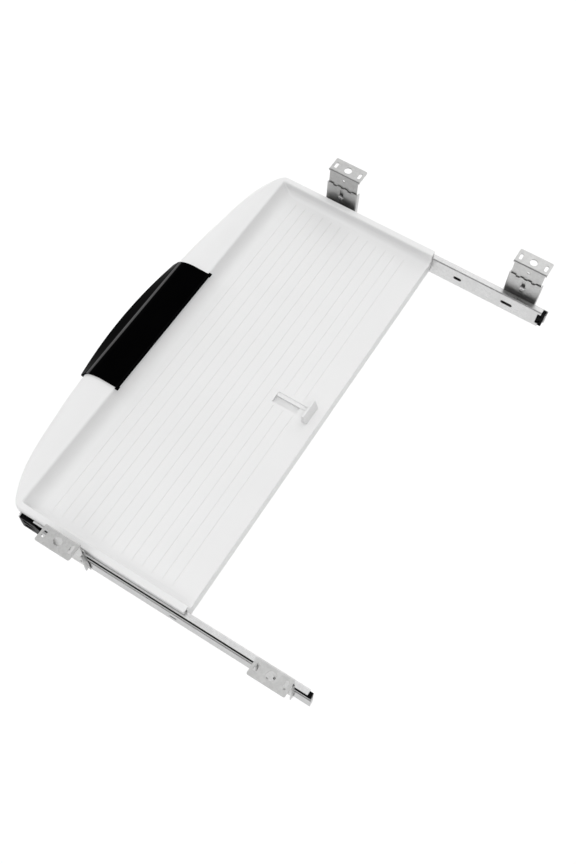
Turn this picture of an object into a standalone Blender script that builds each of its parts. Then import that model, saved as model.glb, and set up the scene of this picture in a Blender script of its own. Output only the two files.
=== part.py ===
"""Under desk drawer: a pull-out keyboard tray on two ball-bearing slides.

The tray hangs between two slides. Each slide is riveted to two guides, and each
guide is clamped to an L-shaped plate that screws to the underside of a desk.

Frame: x = 0 is the mirror plane, +X the user's right, -Y the front (grip side),
+Z up, and z = 0 the desk surface on which the four flanges bear. Units: metres.
"""
import math

import bmesh
import bpy

MM = 0.001
GAP = 0.3 * MM

# Tray
RIM_Z = -41.8 * MM
RIM_OUT = 264.7 * MM
RIM_DEPTH = 8.0 * MM
RIM_PLATE = 2.6 * MM
RIM_LIP = 2.2 * MM
RIM_ROUND = 2.0 * MM
ROLL_IN = 29.0 * MM
ROLL_DOWN = 24.0 * MM
ROLL_LIP = 4.0 * MM
ROLL_FADE_START = 150.0 * MM
ROLL_FADE_END = 258.0 * MM
WALL_IN = 256.5 * MM
WALL_OUT = 259.7 * MM
FLOOR_Z = -56.8 * MM
FLOOR_T = 2.5 * MM
SKIRT_Z = -75.0 * MM
BACK_Y = 11.5 * MM
WELL_TOP_Y = -197.0 * MM
WELL_FLOOR_Y = -180.0 * MM
WELL_FILLET = 7.5 * MM
BODY_FRONT_Y = -199.5 * MM
BOW_Y = -245.8 * MM
BOW_HALF = 252.0 * MM
BOW_K2 = 0.0991
BOW_K4 = 7.6
CORNER_Y = -196.0 * MM
RIB_Z = -69.0 * MM
DECK_WALL = 2.6 * MM
DECK_HOLLOW_HALF = 238.0 * MM
RIB_T = 2.0 * MM
CELLS_X = 5
CELLS_Y = 3

# Grooves in the tray floor
GROOVES = 13
GROOVE_Y = -171.0 * MM
GROOVE_PITCH = 12.73 * MM
GROOVE_HALF = 244.0 * MM
GROOVE_W = 0.9 * MM
GROOVE_D = 0.5 * MM

# Keyboard stop and its slot
SLOT_HALF = 7.25 * MM
SLOT_FRONT = -47.6 * MM
SLOT_BACK = -3.4 * MM
LEDGE_X = -2.6 * MM
LEDGE_DROP = 1.3 * MM
TROUGH_Z = -62.4 * MM
TROUGH_T = 1.8 * MM
UNDERCUT = 1.0 * MM
UNDERCUT_Z = -59.4 * MM
STOP_BASE_FRONT = -17.0 * MM
STOP_BACK = -4.0 * MM
STOP_HALF = 12.5 * MM
STOP_TOP = -43.4 * MM
STOP_T = 2.4 * MM
STOP_LEAN = 4.5 * MM
FOOT_DROP = 1.2 * MM

# Grip
GRIP_X = 3.0 * MM
GRIP_HALF = 91.0 * MM
GRIP_FRONT = -255.0 * MM
GRIP_BOW = 0.86
GRIP_BACK = -193.6 * MM
GRIP_T = 1.9 * MM
GRIP_ARCH_Y = -216.0 * MM
GRIP_ARCH_IN = 31.0 * MM
GRIP_ARCH_DOWN = 26.0 * MM
GRIP_CREASE_Y = -240.0 * MM
GRIP_LIP_Z = -61.0 * MM
GRIP_BOTTOM = -63.4 * MM
GRIP_TAB = 2.2 * MM

# Slides: u is measured outward from SLIDE_X, v up from SLIDE_Z
SLIDE_X = 260.0 * MM
SLIDE_Z = -64.1 * MM
DRAWER_T = 1.2 * MM
DRAWER_U = 7.0 * MM
DRAWER_V = 13.6 * MM
DRAWER_FRONT = -195.0 * MM
DRAWER_BACK = 157.0 * MM
DRAWER_FLANGE_FRONT = -177.0 * MM
CABINET_T = 1.2 * MM
CABINET_U = 10.0 * MM
CABINET_V = 10.75 * MM
TRACK_U = 4.2 * MM
TRACK_V = 8.8 * MM
CABINET_FRONT = -165.0 * MM
CABINET_BACK = 162.5 * MM
BUMPER_FRONT = 139.0 * MM
RETAINER_FRONT = -43.0 * MM
RETAINER_BACK = 33.0 * MM
RETAINER_T = 0.5 * MM
BALL_R = 1.5 * MM
BALL_U = 5.5 * MM
BALL_V = 10.6 * MM
BALLS = 6
BEND_R = 1.6 * MM
WEB_SLOT_W = 5.0 * MM
SCREW_Y = (-158.0 * MM, -80.0 * MM, -3.0 * MM)

# Desk brackets
BRACKET_Y = 123.4 * MM
PLATE_T = 1.5 * MM
PLATE_IN = 271.8 * MM
PLATE_OUT = 291.75 * MM
PLATE_HALF = 21.0 * MM
LEG_HALF = 19.3 * MM
LEG_BOTTOM = -50.0 * MM
HOLE_X = 281.3 * MM
HOLE_R = 4.7 * MM
FIX_SLOT_Y = 16.0 * MM
FIX_SLOT_W = 4.0 * MM
FIX_SLOT_L = 9.0 * MM
PLATE_CORNER = 1.8 * MM
GUIDE_T = 1.2 * MM
GUIDE_IN = 270.3 * MM
GUIDE_OUT = 277.0 * MM
GUIDE_TOP = -20.8 * MM
GUIDE_BOTTOM = -72.8 * MM
RETURN_TOP = -23.8 * MM
RETURN_BOTTOM = -62.8 * MM
GUIDE_SLOT_W = 4.6 * MM
GUIDE_SLOT_TOP = -23.8 * MM
GUIDE_SLOT_BOTTOM = -45.8 * MM
CLAMP_Z = -36.8 * MM
RIVET_DY = 12.0 * MM

# name: (colour, roughness, metallic)
FINISHES = {
    "tray_white": ((0.86, 0.86, 0.86), 0.42, 0.0),
    "stop_white": ((0.88, 0.88, 0.88), 0.35, 0.0),
    "grip_black": ((0.012, 0.012, 0.013), 0.18, 0.0),
    "moulding_black": ((0.02, 0.02, 0.021), 0.5, 0.0),
    "zinc_slide": ((0.62, 0.62, 0.62), 0.32, 1.0),
    "zinc_bracket": ((0.66, 0.66, 0.66), 0.38, 1.0),
    "retainer_steel": ((0.55, 0.55, 0.56), 0.3, 1.0),
    "fastener_steel": ((0.6, 0.6, 0.61), 0.3, 1.0),
}

# Moving groups and the point on each group's joint axis where its empty stands
GROUPS = {
    "desk_brackets": (0.0, 0.0, 0.0),
    "rails": (0.0, 0.0, CLAMP_Z),
    "tray_group": (0.0, 0.0, SLIDE_Z),
    "retainer_left_group": (-SLIDE_X - BALL_U, 0.0, SLIDE_Z),
    "retainer_right_group": (SLIDE_X + BALL_U, 0.0, SLIDE_Z),
    "stop_group": (0.0, STOP_BACK, FLOOR_Z),
}


def clear_scene():
    for obj in list(bpy.data.objects):
        bpy.data.objects.remove(obj, do_unlink=True)


def collection(name, hidden):
    coll = bpy.data.collections.new(name)
    bpy.context.scene.collection.children.link(coll)
    coll.hide_render = hidden
    return coll


def add_groups():
    empties = {}
    for name, at in GROUPS.items():
        empty = bpy.data.objects.new(name, None)
        empty.location = at
        DRAWER.objects.link(empty)
        empties[name] = empty
    return empties


def material(name):
    mat = bpy.data.materials.get(name)
    if mat is None:
        colour, roughness, metallic = FINISHES[name]
        mat = bpy.data.materials.new(name)
        mat.use_nodes = True
        shader = mat.node_tree.nodes["Principled BSDF"]
        shader.inputs["Base Color"].default_value = (*colour, 1.0)
        shader.inputs["Roughness"].default_value = roughness
        shader.inputs["Metallic"].default_value = metallic
    return mat


def place(plane, a, b, c):
    """Point (a, b) of a 2-D outline in the named plane, at depth c."""
    if plane == "XY":
        return (a, b, c)
    if plane == "XZ":
        return (a, c, b)
    return (c, a, b)


def add_prism(bm, outline, plane, start, end):
    """Extrude a closed 2-D outline along the axis its plane leaves out."""
    verts = [bm.verts.new(place(plane, a, b, start)) for a, b in outline]
    face = bm.faces.new(verts)
    moved = bmesh.ops.extrude_face_region(bm, geom=[face])["geom"]
    step = place(plane, 0.0, 0.0, end - start)
    bmesh.ops.translate(bm, vec=step, verts=[g for g in moved if isinstance(g, bmesh.types.BMVert)])


def add_box(bm, x, y, z):
    add_prism(bm, rectangle(x[0], x[1], y[0], y[1]), "XY", z[0], z[1])


def add_loft(bm, rings):
    """Skin a list of rings with equal vertex counts and cap both ends."""
    loops = [[bm.verts.new(p) for p in ring] for ring in rings]
    count = len(loops[0])
    for low, high in zip(loops, loops[1:]):
        for i in range(count):
            j = (i + 1) % count
            bm.faces.new((low[i], low[j], high[j], high[i]))
    bm.faces.new(loops[0])
    bm.faces.new(loops[-1])


def rectangle(a0, a1, b0, b1):
    return [(a0, b0), (a1, b0), (a1, b1), (a0, b1)]


def circle(a, b, radius, count):
    turn = 2.0 * math.pi / count
    return [(a + radius * math.cos(turn * i), b + radius * math.sin(turn * i)) for i in range(count)]


def cross(a, b, reach, half):
    """Outline of a cross-shaped driver recess."""
    arm = [(reach, -half), (reach, half), (half, half)]
    points = []
    for _ in range(4):
        points += [(a + p, b + q) for p, q in arm]
        arm = [(-q, p) for p, q in arm]
    return points


def obround(a, b, length, width, count=6, along_b=False):
    """Slot outline with round ends, centred on (a, b)."""
    radius = width / 2.0
    reach = length / 2.0 - radius
    points = []
    for side in (1.0, -1.0):
        for i in range(count + 1):
            angle = math.pi * (i / count - 0.5)
            p = side * (reach + radius * math.cos(angle))
            q = side * radius * math.sin(angle)
            points.append((a + q, b + p) if along_b else (a + p, b + q))
    return points


def rounded_path(points, radius, count=4):
    """Replace each inner corner of an open path by a circular arc."""
    path = [points[0]]
    for before, corner, after in zip(points, points[1:], points[2:]):
        n0 = normal(before, corner)
        n1 = normal(corner, after)
        turn = math.atan2(n0[0] * n1[1] - n0[1] * n1[0], n0[0] * n1[0] + n0[1] * n1[1])
        reach = radius * math.tan(abs(turn) / 2.0)
        side = -1.0 if turn > 0.0 else 1.0
        start = (corner[0] + n0[1] * reach, corner[1] - n0[0] * reach)
        centre = (start[0] + side * n0[0] * radius, start[1] + side * n0[1] * radius)
        arm = (start[0] - centre[0], start[1] - centre[1])
        for i in range(count + 1):
            c = math.cos(turn * i / count)
            s = math.sin(turn * i / count)
            path.append((centre[0] + c * arm[0] - s * arm[1], centre[1] + s * arm[0] + c * arm[1]))
    path.append(points[-1])
    return path


def strip(path, thickness):
    """Closed outline of a sheet whose left side is the given open path."""
    offset = []
    for i, point in enumerate(path):
        before = path[max(i - 1, 0)]
        after = path[min(i + 1, len(path) - 1)]
        n0 = normal(before, point) if i else normal(point, after)
        n1 = normal(point, after) if i < len(path) - 1 else n0
        scale = thickness / (1.0 + n0[0] * n1[0] + n0[1] * n1[1])
        offset.append((point[0] + (n0[0] + n1[0]) * scale, point[1] + (n0[1] + n1[1]) * scale))
    return path + offset[::-1]


def normal(p, q):
    """Unit normal on the right of the segment from p to q."""
    dx = q[0] - p[0]
    dy = q[1] - p[1]
    length = math.hypot(dx, dy)
    return (dy / length, -dx / length)


def finish_mesh(bm, name):
    bmesh.ops.recalc_face_normals(bm, faces=bm.faces)
    mesh = bpy.data.meshes.new(name)
    bm.to_mesh(mesh)
    bm.free()
    return mesh


def make_part(name, bm, finish, group, anchor, smooth=False):
    """Named sub-part with its origin at the anchor, parented to its group's empty."""
    bmesh.ops.translate(bm, vec=[-c for c in anchor], verts=bm.verts)
    mesh = finish_mesh(bm, name)
    mesh.materials.append(material(finish))
    for polygon in mesh.polygons:
        polygon.use_smooth = smooth
    if smooth:
        mesh.set_sharp_from_angle(angle=math.radians(35.0))
    obj = bpy.data.objects.new(name, mesh)
    obj.parent = EMPTIES[group]
    obj.location = [c - g for c, g in zip(anchor, GROUPS[group])]
    DRAWER.objects.link(obj)
    return obj


def boolean(obj, name, bm, operation="DIFFERENCE"):
    """Cut or join a tool body with the exact solver."""
    tool = bpy.data.objects.new(obj.name + "_" + name, finish_mesh(bm, name))
    tool.display_type = "WIRE"
    tool.hide_render = True
    CUTTERS.objects.link(tool)
    mod = obj.modifiers.new(name, "BOOLEAN")
    mod.operation = operation
    mod.solver = "EXACT"
    mod.object = tool


def round_edges(obj, width, segments, angle=50.0):
    mod = obj.modifiers.new("round", "BEVEL")
    mod.width = width
    mod.segments = segments
    mod.limit_method = "ANGLE"
    mod.angle_limit = math.radians(angle)
    mod.use_clamp_overlap = True


def mirrored(points, side):
    return [(side * a, b) for a, b in points]


# ---------------------------------------------------------------- tray


def bow(x):
    """Front edge of the tray at distance x from the mirror plane."""
    return BOW_Y + BOW_K2 * x * x + BOW_K4 * x ** 4


def tray_outline(segments=20, corner=6):
    """Plan outline: bowed front, rounded front corners, straight sides and back."""
    slope = 2.0 * BOW_K2 * BOW_HALF + 4.0 * BOW_K4 * BOW_HALF ** 3
    start = (BOW_HALF, bow(BOW_HALF))
    control = (RIM_OUT, start[1] + slope * (RIM_OUT - BOW_HALF))
    end = (RIM_OUT, CORNER_Y)
    arc = []
    for i in range(1, corner + 1):
        t = i / corner
        w = (1.0 - t) ** 2, 2.0 * t * (1.0 - t), t * t
        arc.append(tuple(w[0] * start[k] + w[1] * control[k] + w[2] * end[k] for k in (0, 1)))
    front = []
    for i in range(segments + 1):
        x = BOW_HALF * (2.0 * i / segments - 1.0)
        front.append((x, bow(x)))
    right = arc + [(RIM_OUT, BACK_Y)]
    return front + right + [(-x, y) for x, y in right[::-1]]


def inset(outline, distances):
    """Move each vertex of a closed outline inward by its own distance."""
    result = []
    count = len(outline)
    for i, point in enumerate(outline):
        n0 = normal(outline[i - 1], point)
        n1 = normal(point, outline[(i + 1) % count])
        scale = distances[i] / (1.0 + n0[0] * n1[0] + n0[1] * n1[1])
        result.append((point[0] - (n0[0] + n1[0]) * scale, point[1] - (n0[1] + n1[1]) * scale))
    return result


def roll_fade(x):
    """0 along the middle of the front, 1 at the corners, smooth in between."""
    t = min(max((abs(x) - ROLL_FADE_START) / (ROLL_FADE_END - ROLL_FADE_START), 0.0), 1.0)
    return t * t * (3.0 - 2.0 * t)


def roll_size(x):
    """How far the top edge rolls inward and down at x."""
    fade = roll_fade(x)
    return ROLL_IN + (RIM_ROUND - ROLL_IN) * fade, ROLL_DOWN + (RIM_ROUND - ROLL_DOWN) * fade


def rim_radii(point):
    if point[1] > BACK_Y - 0.1 * MM:
        return 0.05 * MM, 0.05 * MM
    return roll_size(point[0])


def rim_rings(steps=6):
    """Stack of plan outlines from the underside of the rim to the top of the deck."""
    outline = tray_outline()
    radii = [rim_radii(p) for p in outline]
    rings = [[(x, y, RIM_Z - ROLL_DOWN - ROLL_LIP) for x, y in outline]]
    for k in range(steps + 1):
        angle = 0.5 * math.pi * k / steps
        moved = inset(outline, [r[0] * (1.0 - math.cos(angle)) for r in radii])
        rings.append([(p[0], p[1], RIM_Z - r[1] * (1.0 - math.sin(angle))) for p, r in zip(moved, radii)])
    return rings


def rim_underside(bm, count=14):
    """Clears the rim from below: deep at the middle of the front, shallow at the corners."""
    curve = []
    for i in range(count + 1):
        x = ROLL_FADE_START + (ROLL_FADE_END - ROLL_FADE_START) * i / count
        curve.append((x, RIM_Z - max(RIM_DEPTH, roll_size(x)[1] + ROLL_LIP)))
    low = RIM_Z - ROLL_DOWN - ROLL_LIP - MM
    out = RIM_OUT + MM
    curve = [(curve[0][0] - 2.0 * MM, low)] + curve + [(out, curve[-1][1]), (out, low)]
    for side in (1.0, -1.0):
        add_prism(bm, mirrored(curve, side), "XZ", BOW_Y - 2.0 * MM, BACK_Y + 2.0 * MM)


def well_cutter(bm, segments=6):
    """Keyboard well: concave front wall, floor, open at the back."""
    profile = [(WELL_TOP_Y, RIM_Z + 1.0 * MM), (WELL_TOP_Y, RIM_Z)]
    control = (WELL_TOP_Y + 6.0 * MM, FLOOR_Z)
    for i in range(1, segments + 1):
        t = i / segments
        w = (1.0 - t) ** 2, 2.0 * t * (1.0 - t), t * t
        y = w[0] * WELL_TOP_Y + w[1] * control[0] + w[2] * WELL_FLOOR_Y
        z = w[0] * RIM_Z + w[1] * control[1] + w[2] * FLOOR_Z
        profile.append((y, z))
    back = BACK_Y + 2.0 * MM
    profile += [(back, FLOOR_Z), (back, RIM_Z + 1.0 * MM)]
    add_prism(bm, profile, "YZ", -WALL_IN, WALL_IN)
    low = []
    for edge in bm.edges:
        side = all(abs(abs(v.co.x) - WALL_IN) < 1e-6 for v in edge.verts)
        along = abs(edge.verts[0].co.x - edge.verts[1].co.x) < 1e-6
        bottom = all(v.co.z < RIM_Z - 0.1 * MM for v in edge.verts)
        if side and along and bottom:
            low.append(edge)
    bmesh.ops.bevel(bm, geom=low, offset=WELL_FILLET, segments=4, profile=0.5, affect="EDGES")


def cell_cutters(bm):
    """Pockets under the floor that leave a grid of ribs."""
    half = WALL_OUT - FLOOR_T
    front = BODY_FRONT_Y + FLOOR_T
    back = BACK_Y - FLOOR_T
    width = (2.0 * half - (CELLS_X - 1) * RIB_T) / CELLS_X
    depth = (back - front - (CELLS_Y - 1) * RIB_T) / CELLS_Y
    for i in range(CELLS_X):
        for j in range(CELLS_Y):
            x = -half + i * (width + RIB_T)
            y = front + j * (depth + RIB_T)
            add_box(bm, (x, x + width), (y, y + depth), (SKIRT_Z - MM, FLOOR_Z - FLOOR_T))


def rib_height_cutter(bm):
    half = WALL_OUT - FLOOR_T
    add_box(bm, (-half, half), (BODY_FRONT_Y + FLOOR_T, BACK_Y - FLOOR_T), (SKIRT_Z - 2.0 * MM, RIB_Z))


def deck_hollow(bm, stations=16, steps=5):
    """Hollow under the front deck that follows the rolled front at one wall thickness."""
    back = BODY_FRONT_Y - 0.8 * MM
    low = RIM_Z - ROLL_DOWN - ROLL_LIP - 2.0 * MM
    rings = []
    for i in range(stations + 1):
        x = DECK_HOLLOW_HALF * (2.0 * i / stations - 1.0)
        reach, drop = (max(r - DECK_WALL, 0.5 * MM) for r in roll_size(x))
        section = [(x, back, low), (x, bow(x) + DECK_WALL, low)]
        for k in range(steps + 1):
            angle = 0.5 * math.pi * k / steps
            y = bow(x) + DECK_WALL + reach * (1.0 - math.cos(angle))
            z = RIM_Z - DECK_WALL - drop * (1.0 - math.sin(angle))
            section.append((x, y, z))
        section.append((x, back, RIM_Z - DECK_WALL))
        rings.append(section)
    add_loft(bm, rings)


def slide_channels(bm):
    """Room under both side rims for the slides."""
    plate = RIM_Z - RIM_PLATE
    lip = RIM_OUT - RIM_LIP
    profile = [(WALL_OUT, plate), (lip, plate), (lip, SKIRT_Z), (WALL_OUT, SKIRT_Z)]
    for side in (1.0, -1.0):
        add_prism(bm, mirrored(profile, side), "XZ", CORNER_Y - MM, BACK_Y + 2.0 * MM)


def floor_grooves(bm):
    """Shallow grooves across the floor, broken around the stop slot."""
    keep_out = SLOT_HALF + 4.0 * MM
    for k in range(GROOVES):
        y = GROOVE_Y + k * GROOVE_PITCH
        spans = [(-GROOVE_HALF, GROOVE_HALF)]
        if y > SLOT_FRONT - 2.0 * MM:
            spans = [(-GROOVE_HALF, -keep_out), (keep_out, GROOVE_HALF)]
        for x0, x1 in spans:
            add_box(bm, (x0, x1), (y, y + GROOVE_W), (FLOOR_Z - GROOVE_D, FLOOR_Z + MM))


def trough_housing(bm):
    """Thickening under the floor that carries the blind slot of the keyboard stop."""
    wall = 2.0 * MM
    width = (LEDGE_X - UNDERCUT - wall, SLOT_HALF + UNDERCUT + wall)
    add_box(bm, width, (SLOT_FRONT - wall, SLOT_BACK + wall), (TROUGH_Z - TROUGH_T, FLOOR_Z - MM))


def trough_cutter(bm):
    add_box(bm, (LEDGE_X, SLOT_HALF), (SLOT_FRONT, SLOT_BACK), (TROUGH_Z, FLOOR_Z + MM))


def undercut_cutter(bm):
    """Side grooves at the bottom of the slot that hold the foot of the stop."""
    add_box(bm, (LEDGE_X - UNDERCUT, SLOT_HALF + UNDERCUT), (SLOT_FRONT, SLOT_BACK), (TROUGH_Z, UNDERCUT_Z))


def ledge_cutter(bm):
    """Shallow step that runs along the left side of the slot."""
    add_box(bm, (-SLOT_HALF, LEDGE_X + MM), (SLOT_FRONT, SLOT_BACK), (FLOOR_Z - LEDGE_DROP, FLOOR_Z + MM))


def screw_holes(bm):
    for side in (1.0, -1.0):
        for y in SCREW_Y:
            span = sorted((side * (WALL_IN - 4.0 * MM), side * (WALL_OUT + MM)))
            add_prism(bm, circle(y, SLIDE_Z, 1.9 * MM, 12), "YZ", span[0], span[1])


def build_tray():
    bm = bmesh.new()
    add_loft(bm, rim_rings())
    tray = make_part("tray", bm, "tray_white", "tray_group", (0.0, 0.0, RIM_Z))
    underside = bmesh.new()
    rim_underside(underside)
    boolean(tray, "underside", underside)
    body = bmesh.new()
    add_box(body, (-WALL_OUT, WALL_OUT), (BODY_FRONT_Y, BACK_Y), (SKIRT_Z, RIM_Z - 4.0 * MM))
    boolean(tray, "body", body, "UNION")
    steps = (("well", well_cutter), ("cells", cell_cutters), ("ribs", rib_height_cutter),
             ("deck", deck_hollow), ("channels", slide_channels), ("grooves", floor_grooves),
             ("housing", trough_housing), ("trough", trough_cutter), ("undercut", undercut_cutter),
             ("ledge", ledge_cutter), ("screws", screw_holes))
    for name, builder in steps:
        tool = bmesh.new()
        builder(tool)
        boolean(tray, name, tool, "UNION" if name == "housing" else "DIFFERENCE")


# ---------------------------------------------------------------- grip and stop


def grip_section(reach, steps=8):
    """Closed YZ section at a reach from the grip's middle: rear lip, arch, crease, pull lip, inner face."""
    x = GRIP_X + reach
    front = GRIP_FRONT + GRIP_BOW * reach * reach
    edge = bow(x)
    top = RIM_Z + GRIP_T
    outer = [(GRIP_BACK, RIM_Z + GAP), (GRIP_BACK, top - 0.9 * MM), (GRIP_BACK - MM, top)]
    crease = math.acos((GRIP_ARCH_Y - GRIP_CREASE_Y) / GRIP_ARCH_IN)
    for k in range(steps + 1):
        angle = 0.5 * math.pi + (crease - 0.5 * math.pi) * k / steps
        y = GRIP_ARCH_Y - GRIP_ARCH_IN * math.cos(angle)
        outer.append((y, top - GRIP_ARCH_DOWN * (1.0 - math.sin(angle))))
    outer += [(front, GRIP_LIP_Z), (front + 0.5 * MM, GRIP_LIP_Z - 1.6 * MM), (front + 1.8 * MM, GRIP_BOTTOM)]
    foot = math.asin(1.0 - (RIM_Z - GRIP_BOTTOM) / ROLL_DOWN)
    inner = []
    for k in range(steps + 1):
        angle = foot + (0.5 * math.pi - foot) * k / steps
        y = edge + ROLL_IN * (1.0 - math.cos(angle)) - GAP * math.cos(angle)
        inner.append((y, RIM_Z - ROLL_DOWN * (1.0 - math.sin(angle)) + GAP * math.sin(angle)))
    return [(x, y, z) for y, z in outer + inner]


def grip_tabs(bm):
    """Small tabs at the two rear corners of the grip."""
    for side in (1.0, -1.0):
        xs = sorted((GRIP_X + side * (GRIP_HALF - 3.0 * MM), GRIP_X + side * (GRIP_HALF + GRIP_TAB)))
        add_box(bm, xs, (GRIP_BACK - 3.0 * MM, GRIP_BACK + MM), (RIM_Z + GAP, RIM_Z + 1.4 * MM))


def build_grip(stations=18):
    bm = bmesh.new()
    add_loft(bm, [grip_section(GRIP_HALF * (2.0 * i / stations - 1.0)) for i in range(stations + 1)])
    grip = make_part("grip", bm, "grip_black", "tray_group", (GRIP_X, GRIP_CREASE_Y, RIM_Z), True)
    tabs = bmesh.new()
    grip_tabs(tabs)
    boolean(grip, "tabs", tabs, "UNION")


def build_stop():
    """Slider with a leaning upright; the flanged foot runs in the undercut slot."""
    bm = bmesh.new()
    lift = FLOOR_Z + GAP
    back = STOP_BACK
    upright = [(back - STOP_T, lift), (back + STOP_LEAN, lift), (back, STOP_TOP), (back - STOP_T, STOP_TOP)]
    add_prism(bm, upright, "YZ", -STOP_HALF, STOP_HALF)
    stop = make_part("stop_slider", bm, "stop_white", "stop_group", (0.0, STOP_BACK, FLOOR_Z))
    low = TROUGH_Z + GAP
    run = (STOP_BASE_FRONT, back - 0.8 * MM)
    across = (LEDGE_X + GAP, SLOT_HALF - GAP)
    foot = bmesh.new()
    add_box(foot, across, run, (low, FLOOR_Z - FOOT_DROP))
    neck = bmesh.new()
    add_box(neck, across, (back - STOP_T, run[1]), (FLOOR_Z - FOOT_DROP - MM, lift + MM))
    flange = bmesh.new()
    add_box(flange, (LEDGE_X - UNDERCUT + GAP, SLOT_HALF + UNDERCUT - GAP),
            (run[0] + 0.5 * MM, run[1] - 0.5 * MM), (low, UNDERCUT_Z - GAP))
    boolean(stop, "neck", neck, "UNION")
    boolean(stop, "foot", foot, "UNION")
    boolean(stop, "flange", flange, "UNION")
    round_edges(stop, 0.25 * MM, 1)


# ---------------------------------------------------------------- slides


def slide_point(side, u, v):
    return (side * (SLIDE_X + u), SLIDE_Z + v)


def build_drawer_member(side, label):
    path = [(DRAWER_U, DRAWER_V), (0.0, DRAWER_V), (0.0, -DRAWER_V), (DRAWER_U, -DRAWER_V)]
    outline = strip(rounded_path(path, BEND_R), -DRAWER_T)
    bm = bmesh.new()
    add_prism(bm, [slide_point(side, u, v) for u, v in outline], "XZ", DRAWER_FRONT, DRAWER_BACK)
    anchor = (side * SLIDE_X, 0.0, SLIDE_Z)
    member = make_part("drawer_member_" + label, bm, "zinc_slide", "tray_group", anchor)
    tab = bmesh.new()
    corners = [slide_point(side, u, v) for u, v in rectangle(0.0, 9.0 * MM, -8.0 * MM, 11.0 * MM)]
    add_prism(tab, corners, "XZ", DRAWER_FRONT - 0.1 * MM, DRAWER_FRONT + DRAWER_T)
    boolean(member, "tab", tab, "UNION")
    cut = bmesh.new()
    for v0, v1 in ((11.4 * MM, DRAWER_V + MM), (-DRAWER_V - MM, -11.4 * MM)):
        flange = rectangle(DRAWER_T + 0.4 * MM, DRAWER_U + MM, v0, v1)
        corners = [slide_point(side, u, v) for u, v in flange]
        add_prism(cut, corners, "XZ", DRAWER_FRONT + 2.0 * MM, DRAWER_FLANGE_FRONT)
    boolean(member, "relief", cut)
    slots = bmesh.new()
    for y, length in ((48.0 * MM, 10.5 * MM), (113.8 * MM, 15.0 * MM)):
        add_prism(slots, obround(y, SLIDE_Z, length, WEB_SLOT_W), "YZ", *web_span(side, 0.0, DRAWER_T))
    for y in SCREW_Y:
        add_prism(slots, circle(y, SLIDE_Z, 2.0 * MM, 12), "YZ", *web_span(side, 0.0, DRAWER_T))
    end = rectangle(DRAWER_BACK - 4.0 * MM, DRAWER_BACK + MM, SLIDE_Z - 7.4 * MM, SLIDE_Z + 9.6 * MM)
    add_prism(slots, end, "YZ", *web_span(side, 0.0, DRAWER_T))
    boolean(member, "slots", slots)


def web_span(side, u0, u1, margin=0.4 * MM):
    """Sorted x range that goes right through a wall between u0 and u1."""
    return sorted((side * (SLIDE_X + u0 - margin), side * (SLIDE_X + u1 + margin)))


def build_cabinet_member(side, label):
    half = [(TRACK_U, TRACK_V), (6.9 * MM, TRACK_V), (7.5 * MM, CABINET_V), (CABINET_U, CABINET_V)]
    path = half + [(u, -v) for u, v in half[::-1]]
    outline = strip(path, CABINET_T)
    bm = bmesh.new()
    add_prism(bm, [slide_point(side, u, v) for u, v in outline], "XZ", CABINET_FRONT, CABINET_BACK)
    anchor = (side * SLIDE_X, 0.0, SLIDE_Z)
    member = make_part("cabinet_member_" + label, bm, "zinc_slide", "rails", anchor)
    tab = bmesh.new()
    corners = [slide_point(side, u, v) for u, v in rectangle(4.7 * MM, 9.4 * MM, -8.0 * MM, 8.0 * MM)]
    add_prism(tab, corners, "XZ", CABINET_BACK - CABINET_T, CABINET_BACK + 0.1 * MM)
    boolean(member, "tab", tab, "UNION")
    lips = bmesh.new()
    reach = sorted((side * (SLIDE_X + TRACK_U - MM), side * (SLIDE_X + CABINET_U - 1.7 * MM)))
    for sign in (1.0, -1.0):
        ends = sorted((SLIDE_Z + sign * (TRACK_V - CABINET_T - MM), SLIDE_Z + sign * (CABINET_V + MM)))
        add_box(lips, reach, (BUMPER_FRONT - 2.0 * MM, CABINET_BACK + MM), ends)
    boolean(member, "lips", lips)
    slots = bmesh.new()
    span = web_span(side, CABINET_U - CABINET_T, CABINET_U)
    add_prism(slots, obround(0.3 * MM, SLIDE_Z, 8.7 * MM, 3.8 * MM), "YZ", *span)
    for y in rivet_places():
        add_prism(slots, circle(y, SLIDE_Z, 2.3 * MM, 12), "YZ", *span)
    boolean(member, "slots", slots)


def rivet_places():
    return [sign * BRACKET_Y + dy for sign in (-1.0, 1.0) for dy in (-RIVET_DY, RIVET_DY)]


def build_retainer(side, label):
    """Thin ball cage: a web joining two flanges that carry the balls."""
    web_u = 3.0 * MM
    v = BALL_V + RETAINER_T / 2.0
    path = [(6.6 * MM, v), (web_u, v), (web_u, -v), (6.6 * MM, -v)]
    outline = strip(rounded_path(path, 0.6 * MM, 2), -RETAINER_T)
    bm = bmesh.new()
    add_prism(bm, [slide_point(side, u, w) for u, w in outline], "XZ", RETAINER_FRONT, RETAINER_BACK)
    group = "retainer_" + label + "_group"
    cage = make_part("ball_retainer_" + label, bm, "retainer_steel", group, GROUPS[group])
    balls = bmesh.new()
    pitch = (RETAINER_BACK - RETAINER_FRONT) / BALLS
    for sign in (1.0, -1.0):
        for i in range(BALLS):
            x, z = slide_point(side, BALL_U, sign * BALL_V)
            y = RETAINER_FRONT + pitch * (i + 0.5)
            add_ball(balls, x, y, z)
    boolean(cage, "balls", balls, "UNION")


def add_ball(bm, x, y, z):
    made = bmesh.ops.create_uvsphere(bm, u_segments=10, v_segments=6, radius=BALL_R)["verts"]
    bmesh.ops.translate(bm, vec=(x, y, z), verts=made)


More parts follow.
